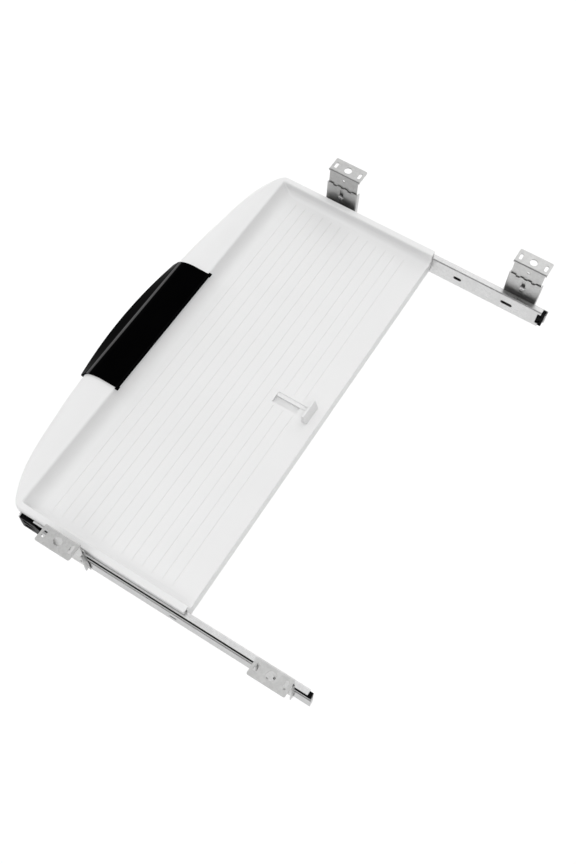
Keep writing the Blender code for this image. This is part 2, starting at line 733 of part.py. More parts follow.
def build_detent(side, label):
    """Moulded catch in the front end of the drawer member."""
    y0 = DRAWER_FRONT + DRAWER_T + 0.4 * MM
    y1 = -168.0 * MM
    h = 11.8 * MM
    c = 6.0 * MM
    outline = [(y0, -h), (y1 - c, -h), (y1, c - h), (y1, h - c), (y1 - c, h), (y0, h)]
    outline = [(y, SLIDE_Z + z) for y, z in outline]
    bm = bmesh.new()
    add_prism(bm, outline, "YZ", *web_span(side, DRAWER_T + GAP, 9.2 * MM, 0.0))
    anchor = (side * SLIDE_X, y0, SLIDE_Z)
    detent = make_part("front_detent_" + label, bm, "moulding_black", "tray_group", anchor)
    cut = bmesh.new()
    yc = 0.5 * (y0 + y1)
    span = web_span(side, 5.0 * MM, 9.6 * MM, 0.0)
    for sign in (1.0, -1.0):
        low = SLIDE_Z + sign * 2.0 * MM
        high = SLIDE_Z + sign * 9.5 * MM
        add_prism(cut, [(yc - 9.0 * MM, low), (yc + 8.0 * MM, low), (yc - 9.0 * MM, high)], "YZ", *span)
    boolean(detent, "recess", cut)


def build_bumper(side, label):
    """Rear stop moulding held in the cabinet member, filling the cut-away end of its tracks."""
    y0 = BUMPER_FRONT
    y1 = CABINET_BACK - CABINET_T - GAP
    h = 7.2 * MM
    outline = [(y0 + 2.0 * MM, -h), (y1, -h), (y1, h), (y0 + 2.0 * MM, h), (y0, h - 2.0 * MM),
               (y0, 1.6 * MM), (y0 + 3.0 * MM, 0.0), (y0, -1.6 * MM), (y0, -h + 2.0 * MM)]
    bm = bmesh.new()
    add_prism(bm, [(y, SLIDE_Z + z) for y, z in outline], "YZ", *web_span(side, 1.6 * MM, 8.5 * MM, 0.0))
    bumper = make_part("rear_bumper_" + label, bm, "moulding_black", "rails", (side * SLIDE_X, y1, SLIDE_Z))
    shoes = bmesh.new()
    reach = sorted((side * (SLIDE_X + 1.6 * MM), side * (SLIDE_X + CABINET_U - 2.0 * MM)))
    add_box(shoes, reach, (y0 + 2.0 * MM, y1), (SLIDE_Z - 11.6 * MM, SLIDE_Z + 11.6 * MM))
    boolean(bumper, "shoes", shoes, "UNION")


# ---------------------------------------------------------------- fasteners


def lathe_part(name, group, profile, side, y, z, segments=16):
    """Body turned about an X axis: profile lists (x, radius) outward from the tray."""
    bm = bmesh.new()
    rings = []
    for x, radius in profile:
        rings.append([(side * x, y + a, z + b) for a, b in circle(0.0, 0.0, radius, segments)])
    add_loft(bm, rings)
    return make_part(name, bm, "fastener_steel", group, (side * profile[0][0], y, z), True)


def build_tray_screw(side, label, y):
    """Low pan-head screw through the drawer member into the tray wall."""
    head = SLIDE_X + DRAWER_T + GAP
    profile = [(WALL_IN - 6.0 * MM, 0.4 * MM), (WALL_IN - 4.0 * MM, 1.6 * MM), (head, 1.6 * MM),
               (head, 3.4 * MM), (head + 0.6 * MM, 3.3 * MM), (head + 1.1 * MM, 2.4 * MM)]
    lathe_part("tray_screw_" + label, "tray_group", profile, side, y, SLIDE_Z)


def build_rivet(label, side, y):
    """Rivet joining a guide to the cabinet member."""
    outer = GUIDE_IN + GUIDE_T + GAP
    inner = SLIDE_X + CABINET_U - CABINET_T - GAP
    profile = [(inner - 0.8 * MM, 2.2 * MM), (inner - 0.5 * MM, 3.0 * MM), (inner, 3.2 * MM),
               (inner, 2.0 * MM), (outer, 2.0 * MM), (outer, 3.5 * MM), (outer + 0.6 * MM, 3.1 * MM),
               (outer + 1.0 * MM, 2.0 * MM)]
    lathe_part("rivet_" + label, "rails", profile, side, y, SLIDE_Z)


def build_clamp_screw(label, side, y):
    """Screw that clamps a guide to the leg of its desk plate."""
    face = GUIDE_IN - GAP
    profile = [(face - 2.0 * MM, 2.2 * MM), (face - 1.7 * MM, 3.1 * MM), (face - 1.0 * MM, 3.5 * MM),
               (face, 3.5 * MM), (face, 2.0 * MM), (PLATE_IN + PLATE_T + 1.5 * MM, 2.0 * MM),
               (PLATE_IN + PLATE_T + 1.9 * MM, 1.6 * MM)]
    screw = lathe_part("clamp_screw_" + label, "desk_brackets", profile, side, y, CLAMP_Z)
    cut = bmesh.new()
    span = sorted((side * (face - 3.0 * MM), side * (face - 1.2 * MM)))
    add_prism(cut, cross(y, CLAMP_Z, 2.0 * MM, 0.4 * MM), "YZ", *span)
    boolean(screw, "recess", cut)


# ---------------------------------------------------------------- brackets


def corner_cutter(side, edge, sign, count=4):
    """Outside of a rounded outer corner of the flange."""
    x = PLATE_OUT - PLATE_CORNER
    y = edge - sign * PLATE_CORNER
    spare = 0.5 * MM
    arc = []
    for i in range(count + 1):
        angle = 0.5 * math.pi * i / count
        arc.append((side * (x + PLATE_CORNER * math.cos(angle)), y + sign * PLATE_CORNER * math.sin(angle)))
    rim = [(side * x, edge + sign * spare), (side * (PLATE_OUT + spare), edge + sign * spare),
           (side * (PLATE_OUT + spare), y)]
    return arc + rim


def build_desk_plate(label, side, y):
    """L-shaped plate: slotted flange under the desk and a leg for the guide."""
    path = [(PLATE_OUT, 0.0), (PLATE_IN, 0.0), (PLATE_IN, LEG_BOTTOM)]
    outline = strip(rounded_path(path, 1.8 * MM), -PLATE_T)
    bm = bmesh.new()
    add_prism(bm, mirrored(outline, side), "XZ", y - PLATE_HALF, y + PLATE_HALF)
    plate = make_part("desk_plate_" + label, bm, "zinc_bracket", "desk_brackets", (side * HOLE_X, y, 0.0))
    cut = bmesh.new()
    legs = sorted((side * (PLATE_IN - MM), side * (PLATE_IN + 2.6 * MM)))
    for sign in (1.0, -1.0):
        ys = sorted((y + sign * LEG_HALF, y + sign * (PLATE_HALF + MM)))
        add_box(cut, legs, ys, (LEG_BOTTOM - MM, -2.6 * MM))
    boolean(plate, "leg_sides", cut)
    corners = bmesh.new()
    for sign in (1.0, -1.0):
        add_prism(corners, corner_cutter(side, y + sign * PLATE_HALF, sign), "XY", -PLATE_T - MM, MM)
    boolean(plate, "corners", corners)
    holes = bmesh.new()
    add_prism(holes, circle(side * HOLE_X, y, HOLE_R, 24), "XY", -PLATE_T - MM, MM)
    for dy in (-FIX_SLOT_Y, FIX_SLOT_Y):
        add_prism(holes, obround(side * HOLE_X, y + dy, FIX_SLOT_L, FIX_SLOT_W), "XY", -PLATE_T - MM, MM)
    through = sorted((side * (PLATE_IN - MM), side * (PLATE_IN + PLATE_T + MM)))
    add_prism(holes, circle(y, -9.8 * MM, 1.7 * MM, 12), "YZ", *through)
    add_prism(holes, circle(y, CLAMP_Z, 2.3 * MM, 16), "YZ", *through)
    boolean(plate, "holes", holes)


def build_guide(label, side, y):
    """Channel riveted to the slide; its slot lets the height be set."""
    path = [(GUIDE_OUT, y - PLATE_HALF), (GUIDE_IN, y - PLATE_HALF), (GUIDE_IN, y + PLATE_HALF),
            (GUIDE_OUT, y + PLATE_HALF)]
    outline = strip(rounded_path(path, BEND_R), GUIDE_T)
    bm = bmesh.new()
    add_prism(bm, mirrored(outline, side), "XY", GUIDE_BOTTOM, GUIDE_TOP)
    guide = make_part("guide_" + label, bm, "zinc_bracket", "rails", (side * GUIDE_IN, y, CLAMP_Z))
    cut = bmesh.new()
    reach = sorted((side * (GUIDE_IN + GUIDE_T + 0.2 * MM), side * (GUIDE_OUT + MM)))
    ends = (y - PLATE_HALF - MM, y + PLATE_HALF + MM)
    add_box(cut, reach, ends, (RETURN_TOP, GUIDE_TOP + MM))
    add_box(cut, reach, ends, (GUIDE_BOTTOM - MM, RETURN_BOTTOM))
    boolean(guide, "returns", cut)
    holes = bmesh.new()
    through = sorted((side * (GUIDE_IN - MM), side * (GUIDE_IN + GUIDE_T + MM)))
    mid = 0.5 * (GUIDE_SLOT_TOP + GUIDE_SLOT_BOTTOM)
    slot = obround(y, mid, GUIDE_SLOT_TOP - GUIDE_SLOT_BOTTOM, GUIDE_SLOT_W, along_b=True)
    add_prism(holes, slot, "YZ", *through)
    for dy in (-RIVET_DY, RIVET_DY):
        add_prism(holes, circle(y + dy, SLIDE_Z, 2.3 * MM, 12), "YZ", *through)
    for dy in (-10.0 * MM, 10.0 * MM):
        notch = [(y + dy - 3.2 * MM, GUIDE_TOP + MM), (y + dy - 2.0 * MM, GUIDE_TOP - 2.4 * MM),
                 (y + dy + 2.0 * MM, GUIDE_TOP - 2.4 * MM), (y + dy + 3.2 * MM, GUIDE_TOP + MM)]
        add_prism(holes, notch, "YZ", *through)
    middle = rectangle(y - 2.0 * MM, y + 2.0 * MM, GUIDE_TOP - 1.4 * MM, GUIDE_TOP + MM)
    add_prism(holes, middle, "YZ", *through)
    boolean(guide, "holes", holes)


def build_all():
    build_tray()
    build_grip()
    build_stop()
    for side, label in ((1.0, "right"), (-1.0, "left")):
        build_drawer_member(side, label)
        build_cabinet_member(side, label)
        build_retainer(side, label)
        build_detent(side, label)
        build_bumper(side, label)
        for where, y in zip(("front", "middle", "rear"), SCREW_Y):
            build_tray_screw(side, label + "_" + where, y)
        for where, sign in (("front", -1.0), ("rear", 1.0)):
            corner = label + "_" + where
            y = sign * BRACKET_Y
            build_desk_plate(corner, side, y)
            build_guide(corner, side, y)
            build_clamp_screw(corner, side, y)
            build_rivet(corner + "_a", side, y - RIVET_DY)
            build_rivet(corner + "_b", side, y + RIVET_DY)


clear_scene()
DRAWER = collection("under_desk_drawer", False)
CUTTERS = collection("cutters", True)
EMPTIES = add_groups()
build_all()
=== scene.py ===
"""Looks of the under desk drawer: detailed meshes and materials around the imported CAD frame.

Axes: +X to the user's right, the grip at -Y, +Z up, and z = 0 at the underside of the desk.
Across a slide, u runs outwards from SLIDE_X and v up from SLIDE_Z.
"""

import math

import bmesh
import bpy
from mathutils import Matrix, Vector


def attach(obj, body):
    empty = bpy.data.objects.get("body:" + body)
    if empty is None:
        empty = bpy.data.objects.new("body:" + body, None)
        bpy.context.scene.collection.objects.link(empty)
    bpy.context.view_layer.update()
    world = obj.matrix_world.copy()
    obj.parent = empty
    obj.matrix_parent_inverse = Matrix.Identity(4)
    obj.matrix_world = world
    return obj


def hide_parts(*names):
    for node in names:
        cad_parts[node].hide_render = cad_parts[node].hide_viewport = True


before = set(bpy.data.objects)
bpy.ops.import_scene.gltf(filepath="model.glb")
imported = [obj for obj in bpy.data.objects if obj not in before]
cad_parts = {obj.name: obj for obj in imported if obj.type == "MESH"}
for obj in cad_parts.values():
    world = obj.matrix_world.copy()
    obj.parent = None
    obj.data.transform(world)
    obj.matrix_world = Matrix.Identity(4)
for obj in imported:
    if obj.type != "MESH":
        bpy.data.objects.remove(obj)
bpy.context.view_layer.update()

MM = 0.001
GAP = 0.3 * MM
# How far a cutter reaches past the surface that it cuts.
SPARE = 1.0 * MM

# Tray
RIM_Z = -41.8 * MM
RIM_OUT = 264.7 * MM
RIM_DEPTH = 8.0 * MM
RIM_PLATE = 2.6 * MM
RIM_LIP = 2.2 * MM
RIM_ROUND = 2.0 * MM
BACK_CORNER = 1.2 * MM
BACK_ROUND = 1.3 * MM
BACK_RIM_ROUND = 0.3 * MM
ROLL_IN = 29.0 * MM
ROLL_DOWN = 24.0 * MM
ROLL_LIP = 4.0 * MM
ROLL_FADE_START = 150.0 * MM
ROLL_FADE_END = 258.0 * MM
WALL_IN = 256.5 * MM
WALL_OUT = 259.7 * MM
FLOOR_Z = -56.8 * MM
FLOOR_T = 2.5 * MM
SKIRT_Z = -75.0 * MM
BACK_Y = 11.5 * MM
WELL_TOP_Y = -197.0 * MM
WELL_FLOOR_Y = -180.0 * MM
WELL_FILLET = 7.5 * MM
WELL_LIP = 1.8 * MM
WELL_EASE = 6.0 * MM
WELL_CORNER = 2.6 * MM
BODY_FRONT_Y = -199.5 * MM
BODY_CORNER = 4.0 * MM
BODY_TOP = RIM_Z - 4.0 * MM
BOW_Y = -245.8 * MM
BOW_HALF = 252.0 * MM
BOW_K2 = 0.0991
BOW_K4 = 7.6
CORNER_Y = -196.0 * MM
RIB_Z = -69.0 * MM
RIB_T = 2.0 * MM
CELL_CORNER = 1.5 * MM
DECK_WALL = 2.6 * MM
DECK_WEB = 0.8 * MM
DECK_TIGHTEST = 0.5 * MM
DECK_HOLLOW_HALF = 238.0 * MM
CELLS_X = 5
CELLS_Y = 3
GROOVES = 13
GROOVE_Y = -171.0 * MM
GROOVE_PITCH = 12.73 * MM
GROOVE_HALF = 244.0 * MM
# Section of a floor groove: along y and up from the floor, in millimetres.
GROOVE_SECTION = ((0.0, 0.02), (0.2, -0.4), (0.45, -0.5), (0.7, -0.4), (0.9, 0.02))
GROOVE_CLEARANCE = 4.0 * MM

# Stop
SLOT_HALF = 7.25 * MM
SLOT_FRONT = -47.6 * MM
SLOT_BACK = -3.4 * MM
LEDGE_X = -2.6 * MM
LEDGE_DROP = 1.3 * MM
TROUGH_Z = -62.4 * MM
TROUGH_T = 1.8 * MM
TROUGH_WALL = 2.0 * MM
UNDERCUT = 1.0 * MM
UNDERCUT_Z = -59.4 * MM
STOP_BASE_FRONT = -17.0 * MM
STOP_BACK = -4.0 * MM
STOP_HALF = 12.5 * MM
STOP_TOP = -43.4 * MM
STOP_T = 2.4 * MM
STOP_LEAN = 4.5 * MM
FOOT_DROP = 1.2 * MM
FOOT_BACK = 0.8 * MM
FOOT_FLANGE_IN = 0.5 * MM
STOP_EDGE = 0.3 * MM

# Grip
GRIP_X = 3.0 * MM
GRIP_HALF = 91.0 * MM
GRIP_FRONT = -255.0 * MM
GRIP_BOW = 0.86
GRIP_BACK = -193.6 * MM
GRIP_T = 1.9 * MM
GRIP_ARCH_Y = -216.0 * MM
GRIP_ARCH_IN = 31.0 * MM
GRIP_ARCH_DOWN = 26.0 * MM
GRIP_CREASE_Y = -240.0 * MM
GRIP_LIP_Z = -61.0 * MM
GRIP_BOTTOM = -63.4 * MM
GRIP_TAB = 2.2 * MM
GRIP_TAB_ROOT = 3.0 * MM
GRIP_TAB_T = 1.4 * MM
GRIP_TAB_BACK = 1.0 * MM
GRIP_TAB_CORNER = 0.5 * MM
GRIP_BACK_ROUND = 0.7 * MM
GRIP_LIP_ROUND = 0.8 * MM
GRIP_EDGE = 0.35 * MM
# Flat rear lip of the grip, and the fine groove in front of it.
GRIP_REAR_LIP = 1.4 * MM
GRIP_GROOVE_D = 0.28 * MM
GRIP_GROOVE_Y = (0.25 * MM, 0.7 * MM, 0.95 * MM)
# The front lip's lower edge: how far the wall leans back, and how deep it is.
GRIP_LIP_LEAN = 0.3 * MM
GRIP_LIP_DEPTH = 3.0 * MM
# Gloss of the grip: a low sheen, with a painted highlight where the specular level is raised along the
# crest and, half as much, along the rear lip.
GRIP_HIGHLIGHT_Y = (-237.6 * MM, -234.6 * MM)
GRIP_HIGHLIGHT_FADE = 0.8 * MM
GRIP_LIP_HIGHLIGHT = (3.0 * MM, 1.8 * MM)
GRIP_LIP_HIGHLIGHT_FADE = 0.3 * MM
GRIP_SHEEN = 0.002
GRIP_HIGHLIGHT_LEVEL = 0.30

# Slides
SLIDE_X = 260.0 * MM
SLIDE_Z = -64.1 * MM
DRAWER_T = 1.2 * MM
DRAWER_U = 7.0 * MM
DRAWER_V = 13.6 * MM
DRAWER_FRONT = -195.0 * MM
DRAWER_BACK = 157.0 * MM
DRAWER_FLANGE_FRONT = -177.0 * MM
DRAWER_WEB_HALF = 11.4 * MM
DRAWER_EDGE = 0.15 * MM
FRONT_TAB_U = 9.0 * MM
FRONT_TAB_V = (-8.0 * MM, 11.0 * MM)
FRONT_TAB_CORNER = 1.5 * MM
FRONT_TAB_CLEAR = 2.0 * MM
TAB_PROUD = 0.1 * MM
WEB_CLEAR = 0.4 * MM
# Slots through the drawer member's web: place along y and length.
WEB_SLOTS = ((48.0 * MM, 10.5 * MM), (113.8 * MM, 15.0 * MM))
END_NOTCH_DEPTH = 4.0 * MM
END_NOTCH_V = (-7.4 * MM, 9.6 * MM)
END_NOTCH_CORNER = 0.8 * MM
CABINET_T = 1.2 * MM
CABINET_U = 10.0 * MM
CABINET_V = 10.75 * MM
CABINET_EDGE = 0.12 * MM
CABINET_SLOT = (8.7 * MM, 3.8 * MM)
CABINET_SLOT_Y = 0.3 * MM
TRACK_U = 4.2 * MM
TRACK_V = 8.8 * MM
# The step between the track and the web, across the slide.
STEP_U = (6.9 * MM, 7.5 * MM)
# Corner radii from the track's lip to the web, on the outside and the inside of the bends.
STEP_OUTER = [0.3 * MM, 0.4 * MM, 0.4 * MM, 1.1 * MM]
STEP_INNER = [0.3 * MM, 0.4 * MM, 0.15 * MM, 0.2 * MM]
REAR_TAB_U = (4.7 * MM, 9.4 * MM)
REAR_TAB_V = 8.0 * MM
REAR_TAB_CORNER = 1.0 * MM
LIP_CUT_U = 8.28 * MM
LIP_CUT_LEAD = 2.0 * MM
CABINET_FRONT = -165.0 * MM
CABINET_BACK = 162.5 * MM
BUMPER_FRONT = 139.0 * MM
BUMPER_U = (1.6 * MM, 8.5 * MM)
BUMPER_HALF = 7.2 * MM
BUMPER_CHAMFER = 2.0 * MM
BUMPER_MOUTH = 1.6 * MM
BUMPER_MOUTH_DEPTH = 3.0 * MM
BUMPER_SHOE = 11.6 * MM
BUMPER_SHOE_U = 2.0 * MM
BUMPER_HOLE_R = 1.5 * MM
BUMPER_HOLE_U = (0.5 * MM, 4.5 * MM)
BUMPER_HOLE_V = 4.2 * MM
BUMPER_HOLE_IN = 3.6 * MM
BUMPER_CORNER = 0.5 * MM
BUMPER_EDGE = 0.25 * MM
DETENT_BACK = -168.0 * MM
DETENT_HALF = 11.8 * MM
DETENT_CHAMFER = 6.0 * MM
DETENT_U = 9.2 * MM
DETENT_CORNER = 1.0 * MM
DETENT_EDGE = 0.3 * MM
# Triangular pockets in the detent: depth from the face, reach along y, reach up.
DETENT_POCKET_U = 5.0 * MM
DETENT_POCKET_Y = (-9.0 * MM, 8.0 * MM)
DETENT_POCKET_V = (2.0 * MM, 9.5 * MM)
DETENT_POCKET_CORNER = 0.8 * MM
# Groove along the top of the detent, across and up, and how far it stays from the ends.
DETENT_TOP_U = (2.6 * MM, 6.6 * MM)
DETENT_TOP_V = (10.4 * MM, 13.0 * MM)
DETENT_TOP_Y = (4.0 * MM, 8.0 * MM)
RETAINER_FRONT = -43.0 * MM
RETAINER_BACK = 33.0 * MM
RETAINER_T = 0.5 * MM
RETAINER_U = (3.0 * MM, 6.6 * MM)
RETAINER_BEND = 0.7 * MM
RETAINER_WINDOW = (14.0 * MM, 6.0 * MM)
BALL_R = 1.5 * MM
BALL_U = 5.5 * MM
BALL_V = 10.6 * MM
BALLS = 6
BEND_R = 1.6 * MM
WEB_SLOT_W = 5.0 * MM
# Painted shade in the slides' ball tracks: its near-black colour, reach across, fade and span along y.
TRACK_SHADE = (0.035, 0.035, 0.034)
TRACK_SHADE_U = 8.1 * MM
TRACK_SHADE_FADE = 0.05 * MM
TRACK_SHADE_Y = (-176.0 * MM, 160.5 * MM)

# Fasteners
SCREW_Y = (-158.0 * MM, -80.0 * MM, -3.0 * MM)
SCREW_R = 1.6 * MM
SCREW_ROOT_R = 1.35 * MM
SCREW_TIP_R = 0.3 * MM
SCREW_TIP = (6.0 * MM, 4.0 * MM)
SCREW_TURNS = 6
SCREW_LEAD = 0.1 * MM
SCREW_STEP = 0.55 * MM
SCREW_HEAD_R = 3.4 * MM
SCREW_RIM = 0.3 * MM
SCREW_HEAD_T = 1.1 * MM
SCREW_CLEAR_R = 2.0 * MM
SCREW_PILOT_R = 1.9 * MM
RIVET_R = 2.0 * MM
RIVET_HOLE_R = 2.3 * MM
# Rivet heads: radius, flat of the crown, rim and height, on the slide's side and outside.
RIVET_INNER = (3.2 * MM, 1.4 * MM, 0.2 * MM, 0.8 * MM)
RIVET_OUTER = (3.5 * MM, 1.2 * MM, 0.2 * MM, 1.0 * MM)
CLAMP_R = 2.0 * MM
CLAMP_HOLE_R = 2.3 * MM
CLAMP_HEAD = (3.5 * MM, 1.8 * MM, 1.0 * MM, 2.0 * MM)
CLAMP_END = 1.5 * MM
CLAMP_CHAMFER = 0.4 * MM
CROSS_REACH = 1.7 * MM
CROSS_HALF = 0.4 * MM
CROSS_DEPTH = 0.8 * MM

# Brackets
BRACKET_Y = 123.4 * MM
PLATE_T = 1.5 * MM
PLATE_IN = 271.8 * MM
PLATE_OUT = 291.75 * MM
PLATE_HALF = 21.0 * MM
LEG_HALF = 19.3 * MM
LEG_BOTTOM = -50.0 * MM
HOLE_X = 281.3 * MM
HOLE_R = 4.7 * MM
FIX_SLOT_Y = 16.0 * MM
FIX_SLOT_W = 4.0 * MM
FIX_SLOT_L = 9.0 * MM
PLATE_CORNER = 1.8 * MM
PLATE_BEND = 1.8 * MM
PLATE_EDGE = 0.18 * MM
LEG_NOTCH = 2.6 * MM
LEG_HOLE_R = 1.7 * MM
LEG_HOLE_Z = -9.8 * MM
GUIDE_T = 1.2 * MM
GUIDE_IN = 270.3 * MM
GUIDE_OUT = 277.0 * MM
GUIDE_TOP = -20.8 * MM
GUIDE_BOTTOM = -72.8 * MM
RETURN_TOP = -23.8 * MM
RETURN_BOTTOM = -62.8 * MM
GUIDE_SLOT_W = 4.6 * MM
GUIDE_SLOT_TOP = -23.8 * MM
GUIDE_SLOT_BOTTOM = -45.8 * MM
CLAMP_Z = -36.8 * MM
RIVET_DY = 12.0 * MM
GUIDE_EDGE = 0.15 * MM
RETURN_CLEAR = 0.2 * MM
NOTCH_Y = 10.0 * MM
NOTCH_HALF = (3.2 * MM, 2.0 * MM)
NOTCH_DEPTH = 2.4 * MM
NOTCH_CORNER = 0.5 * MM
DIP_HALF = 2.0 * MM
DIP_DEPTH = 1.4 * MM

# Studio
SKY_BRIGHT = 1.42
SKY_DARK = 0.22
SKY_TOWARDS = (-0.70, -0.42, 0.58)
SKY_EDGE = 0.15
SKY_FULL = 0.92
FLAGS = ((-0.420, -0.390, 0.817), (-0.430, -0.600, 0.675), (-0.430, -0.770, 0.480))
FLAG_EDGE = 0.968
FLAG_CORE = 0.992
FLAG_SHADE = 0.04
KEY = ("key", 125.0, 58.0, 0.37, 60.0)
FILL = ("fill", 60.0, 35.0, 0.14, 90.0)
STAGE_TOP = -2.0
STAGE_T = 0.02
STAGE_HALF = 30.0
CAMERA_ANGLES = (118.37, 62.52, 3.97)
CAMERA_AT = (0.49545, 0.2390, 0.95832)
CAMERA_LENS = 43.353
CAMERA_SENSOR = 36.0
CAMERA_NEAR = 0.01


# ---- geometry helpers


def place(plane, a, b, c):
    """Point with a and b in the named plane and c along its normal."""
    if plane == "XY":
        return (a, b, c)
    if plane == "XZ":
        return (a, c, b)
    return (c, a, b)


def add_prism(bm, outline, plane, start, end):
    verts = [bm.verts.new(place(plane, a, b, start)) for a, b in outline]
    face = bm.faces.new(verts)
    moved = bmesh.ops.extrude_face_region(bm, geom=[face])["geom"]
    step = place(plane, 0.0, 0.0, end - start)
    bmesh.ops.translate(bm, vec=step, verts=[g for g in moved if isinstance(g, bmesh.types.BMVert)])


def prism(outline, plane, start, end):
    bm = bmesh.new()
    add_prism(bm, outline, plane, start, end)
    return bm


def rectangle(a0, a1, b0, b1):
    return [(a0, b0), (a1, b0), (a1, b1), (a0, b1)]


def add_box(bm, x, y, z):
    add_prism(bm, rectangle(x[0], x[1], y[0], y[1]), "XY", z[0], z[1])


def box(x, y, z):
    bm = bmesh.new()
    add_box(bm, x, y, z)
    return bm


def add_loft(bm, rings):
    loops = [[bm.verts.new(p) for p in ring] for ring in rings]
    count = len(loops[0])
    for low, high in zip(loops, loops[1:]):
        for i in range(count):
            j = (i + 1) % count
            bm.faces.new((low[i], low[j], high[j], high[i]))
    bm.faces.new(loops[0])
    bm.faces.new(loops[-1])


def circle(a, b, radius, count=32):
    turn = 2.0 * math.pi / count
    angles = [turn * i for i in range(count)]
    return [(a + radius * math.cos(t), b + radius * math.sin(t)) for t in angles]


def obround(a, b, length, width, count=12, along_b=False):
    radius = width / 2.0
    reach = length / 2.0 - radius
    points = []
    for side in (1.0, -1.0):
        for i in range(count + 1):
            angle = math.pi * (i / count - 0.5)
            p = side * (reach + radius * math.cos(angle))
            q = side * radius * math.sin(angle)
            points.append((a + q, b + p) if along_b else (a + p, b + q))
    return points


def quarter(count):
    """Sine and cosine at equal steps over a quarter turn."""
    angles = [0.5 * math.pi * i / count for i in range(count + 1)]
    return [(math.sin(angle), math.cos(angle)) for angle in angles]


def easing(t):
    """Weights of a quadratic curve's start, control and end at t."""
    return (1.0 - t) ** 2, 2.0 * t * (1.0 - t), t * t


def normal(p, q):
    """Unit normal to the right of the way from p to q."""
    dx = q[0] - p[0]
    dy = q[1] - p[1]
    length = math.hypot(dx, dy)
    return (dy / length, -dx / length)


def arc_corner(before, corner, after, radius, count):
    n0 = normal(before, corner)
    n1 = normal(corner, after)
    turn = math.atan2(n0[0] * n1[1] - n0[1] * n1[0], n0[0] * n1[0] + n0[1] * n1[1])
    reach = radius * math.tan(abs(turn) / 2.0)
    side = -1.0 if turn > 0.0 else 1.0
    start = (corner[0] + n0[1] * reach, corner[1] - n0[0] * reach)
    centre = (start[0] + side * n0[0] * radius, start[1] + side * n0[1] * radius)
    arm = (start[0] - centre[0], start[1] - centre[1])
    points = []
    for i in range(count + 1):
        c = math.cos(turn * i / count)
        s = math.sin(turn * i / count)
        points.append((centre[0] + c * arm[0] - s * arm[1], centre[1] + s * arm[0] + c * arm[1]))
    return points


def rounded_path(points, radius, count=8):
    path = [points[0]]
    for before, corner, after in zip(points, points[1:], points[2:]):
        path += arc_corner(before, corner, after, radius, count)
    path.append(points[-1])
    return path


def rounded_loop(points, radius, count=6):
    """Closed outline with every corner rounded; radius may be one value or one per corner."""
    total = len(points)
    radii = radius if isinstance(radius, (list, tuple)) else [radius] * total
    loop = []
    for i in range(total):
        if radii[i] <= 0.0:
            loop.append(points[i])
            continue
        loop += arc_corner(points[i - 1], points[i], points[(i + 1) % total], radii[i], count)
    return loop


def strip(path, thickness):
    """Closed outline of a sheet of even thickness that follows a path."""
    offset = []
    for i, point in enumerate(path):
        before = path[max(i - 1, 0)]
        after = path[min(i + 1, len(path) - 1)]
        n0 = normal(before, point) if i else normal(point, after)
        n1 = normal(point, after) if i < len(path) - 1 else n0
        scale = thickness / (1.0 + n0[0] * n1[0] + n0[1] * n1[1])
        offset.append((point[0] + (n0[0] + n1[0]) * scale, point[1] + (n0[1] + n1[1]) * scale))
    return path + offset[::-1]


def mirrored(points, side):
    return [(side * a, b) for a, b in points]


def drill(bm, y, z, radius, through, count=20):
    """Cutter for a round hole along x."""
    add_prism(bm, circle(y, z, radius, count), "YZ", *through)


def span(side, inner, outer):
    """Reach along x on one side of the object, lowest first."""
    return sorted((side * inner, side * outer))


def new_mesh(bm, name):
    bmesh.ops.recalc_face_normals(bm, faces=bm.faces)
    mesh = bpy.data.meshes.new(name)
    bm.to_mesh(mesh)
    bm.free()
    return mesh


def new_object(name, bm):
    obj = bpy.data.objects.new(name, new_mesh(bm, name))
    bpy.context.scene.collection.objects.link(obj)
    return obj


def apply_modifiers(obj):
    graph = bpy.context.evaluated_depsgraph_get()
    mesh = bpy.data.meshes.new_from_object(obj.evaluated_get(graph))
    obj.modifiers.clear()
    old = obj.data
    obj.data = mesh
    bpy.data.meshes.remove(old)


def boolean(obj, bm, operation="DIFFERENCE"):
    tool = new_object("tool", bm)
    mod = obj.modifiers.new("boolean", "BOOLEAN")
    mod.operation = operation
    mod.solver = "EXACT"
    mod.object = tool
    apply_modifiers(obj)
    bpy.data.objects.remove(tool, do_unlink=True)


def unite(obj, bm):
    boolean(obj, bm, "UNION")


def round_edges(obj, width, segments=2, angle=50.0):
    mod = obj.modifiers.new("round", "BEVEL")
    mod.width = width
    mod.segments = segments
    mod.limit_method = "ANGLE"
    mod.angle_limit = math.radians(angle)
    mod.miter_outer = "MITER_ARC"
    apply_modifiers(obj)


def finish(obj, body, nodes, material, sharp=38.0):
    """Smooth shading, material, body and the CAD nodes this piece stands for."""
    mesh = obj.data
    bm = bmesh.new()
    bm.from_mesh(mesh)
    bmesh.ops.remove_doubles(bm, verts=bm.verts, dist=2e-6)
    bmesh.ops.recalc_face_normals(bm, faces=bm.faces)
    bm.to_mesh(mesh)
    bm.free()
    for polygon in mesh.polygons:
        polygon.use_smooth = True
    mesh.set_sharp_from_angle(angle=math.radians(sharp))
    mesh.materials.clear()
    mesh.materials.append(material)
    mod = obj.modifiers.new("normals", "WEIGHTED_NORMAL")
    mod.keep_sharp = True
    mod.weight = 80
    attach(obj, body)
    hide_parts(*nodes)
    return obj


# ---- materials


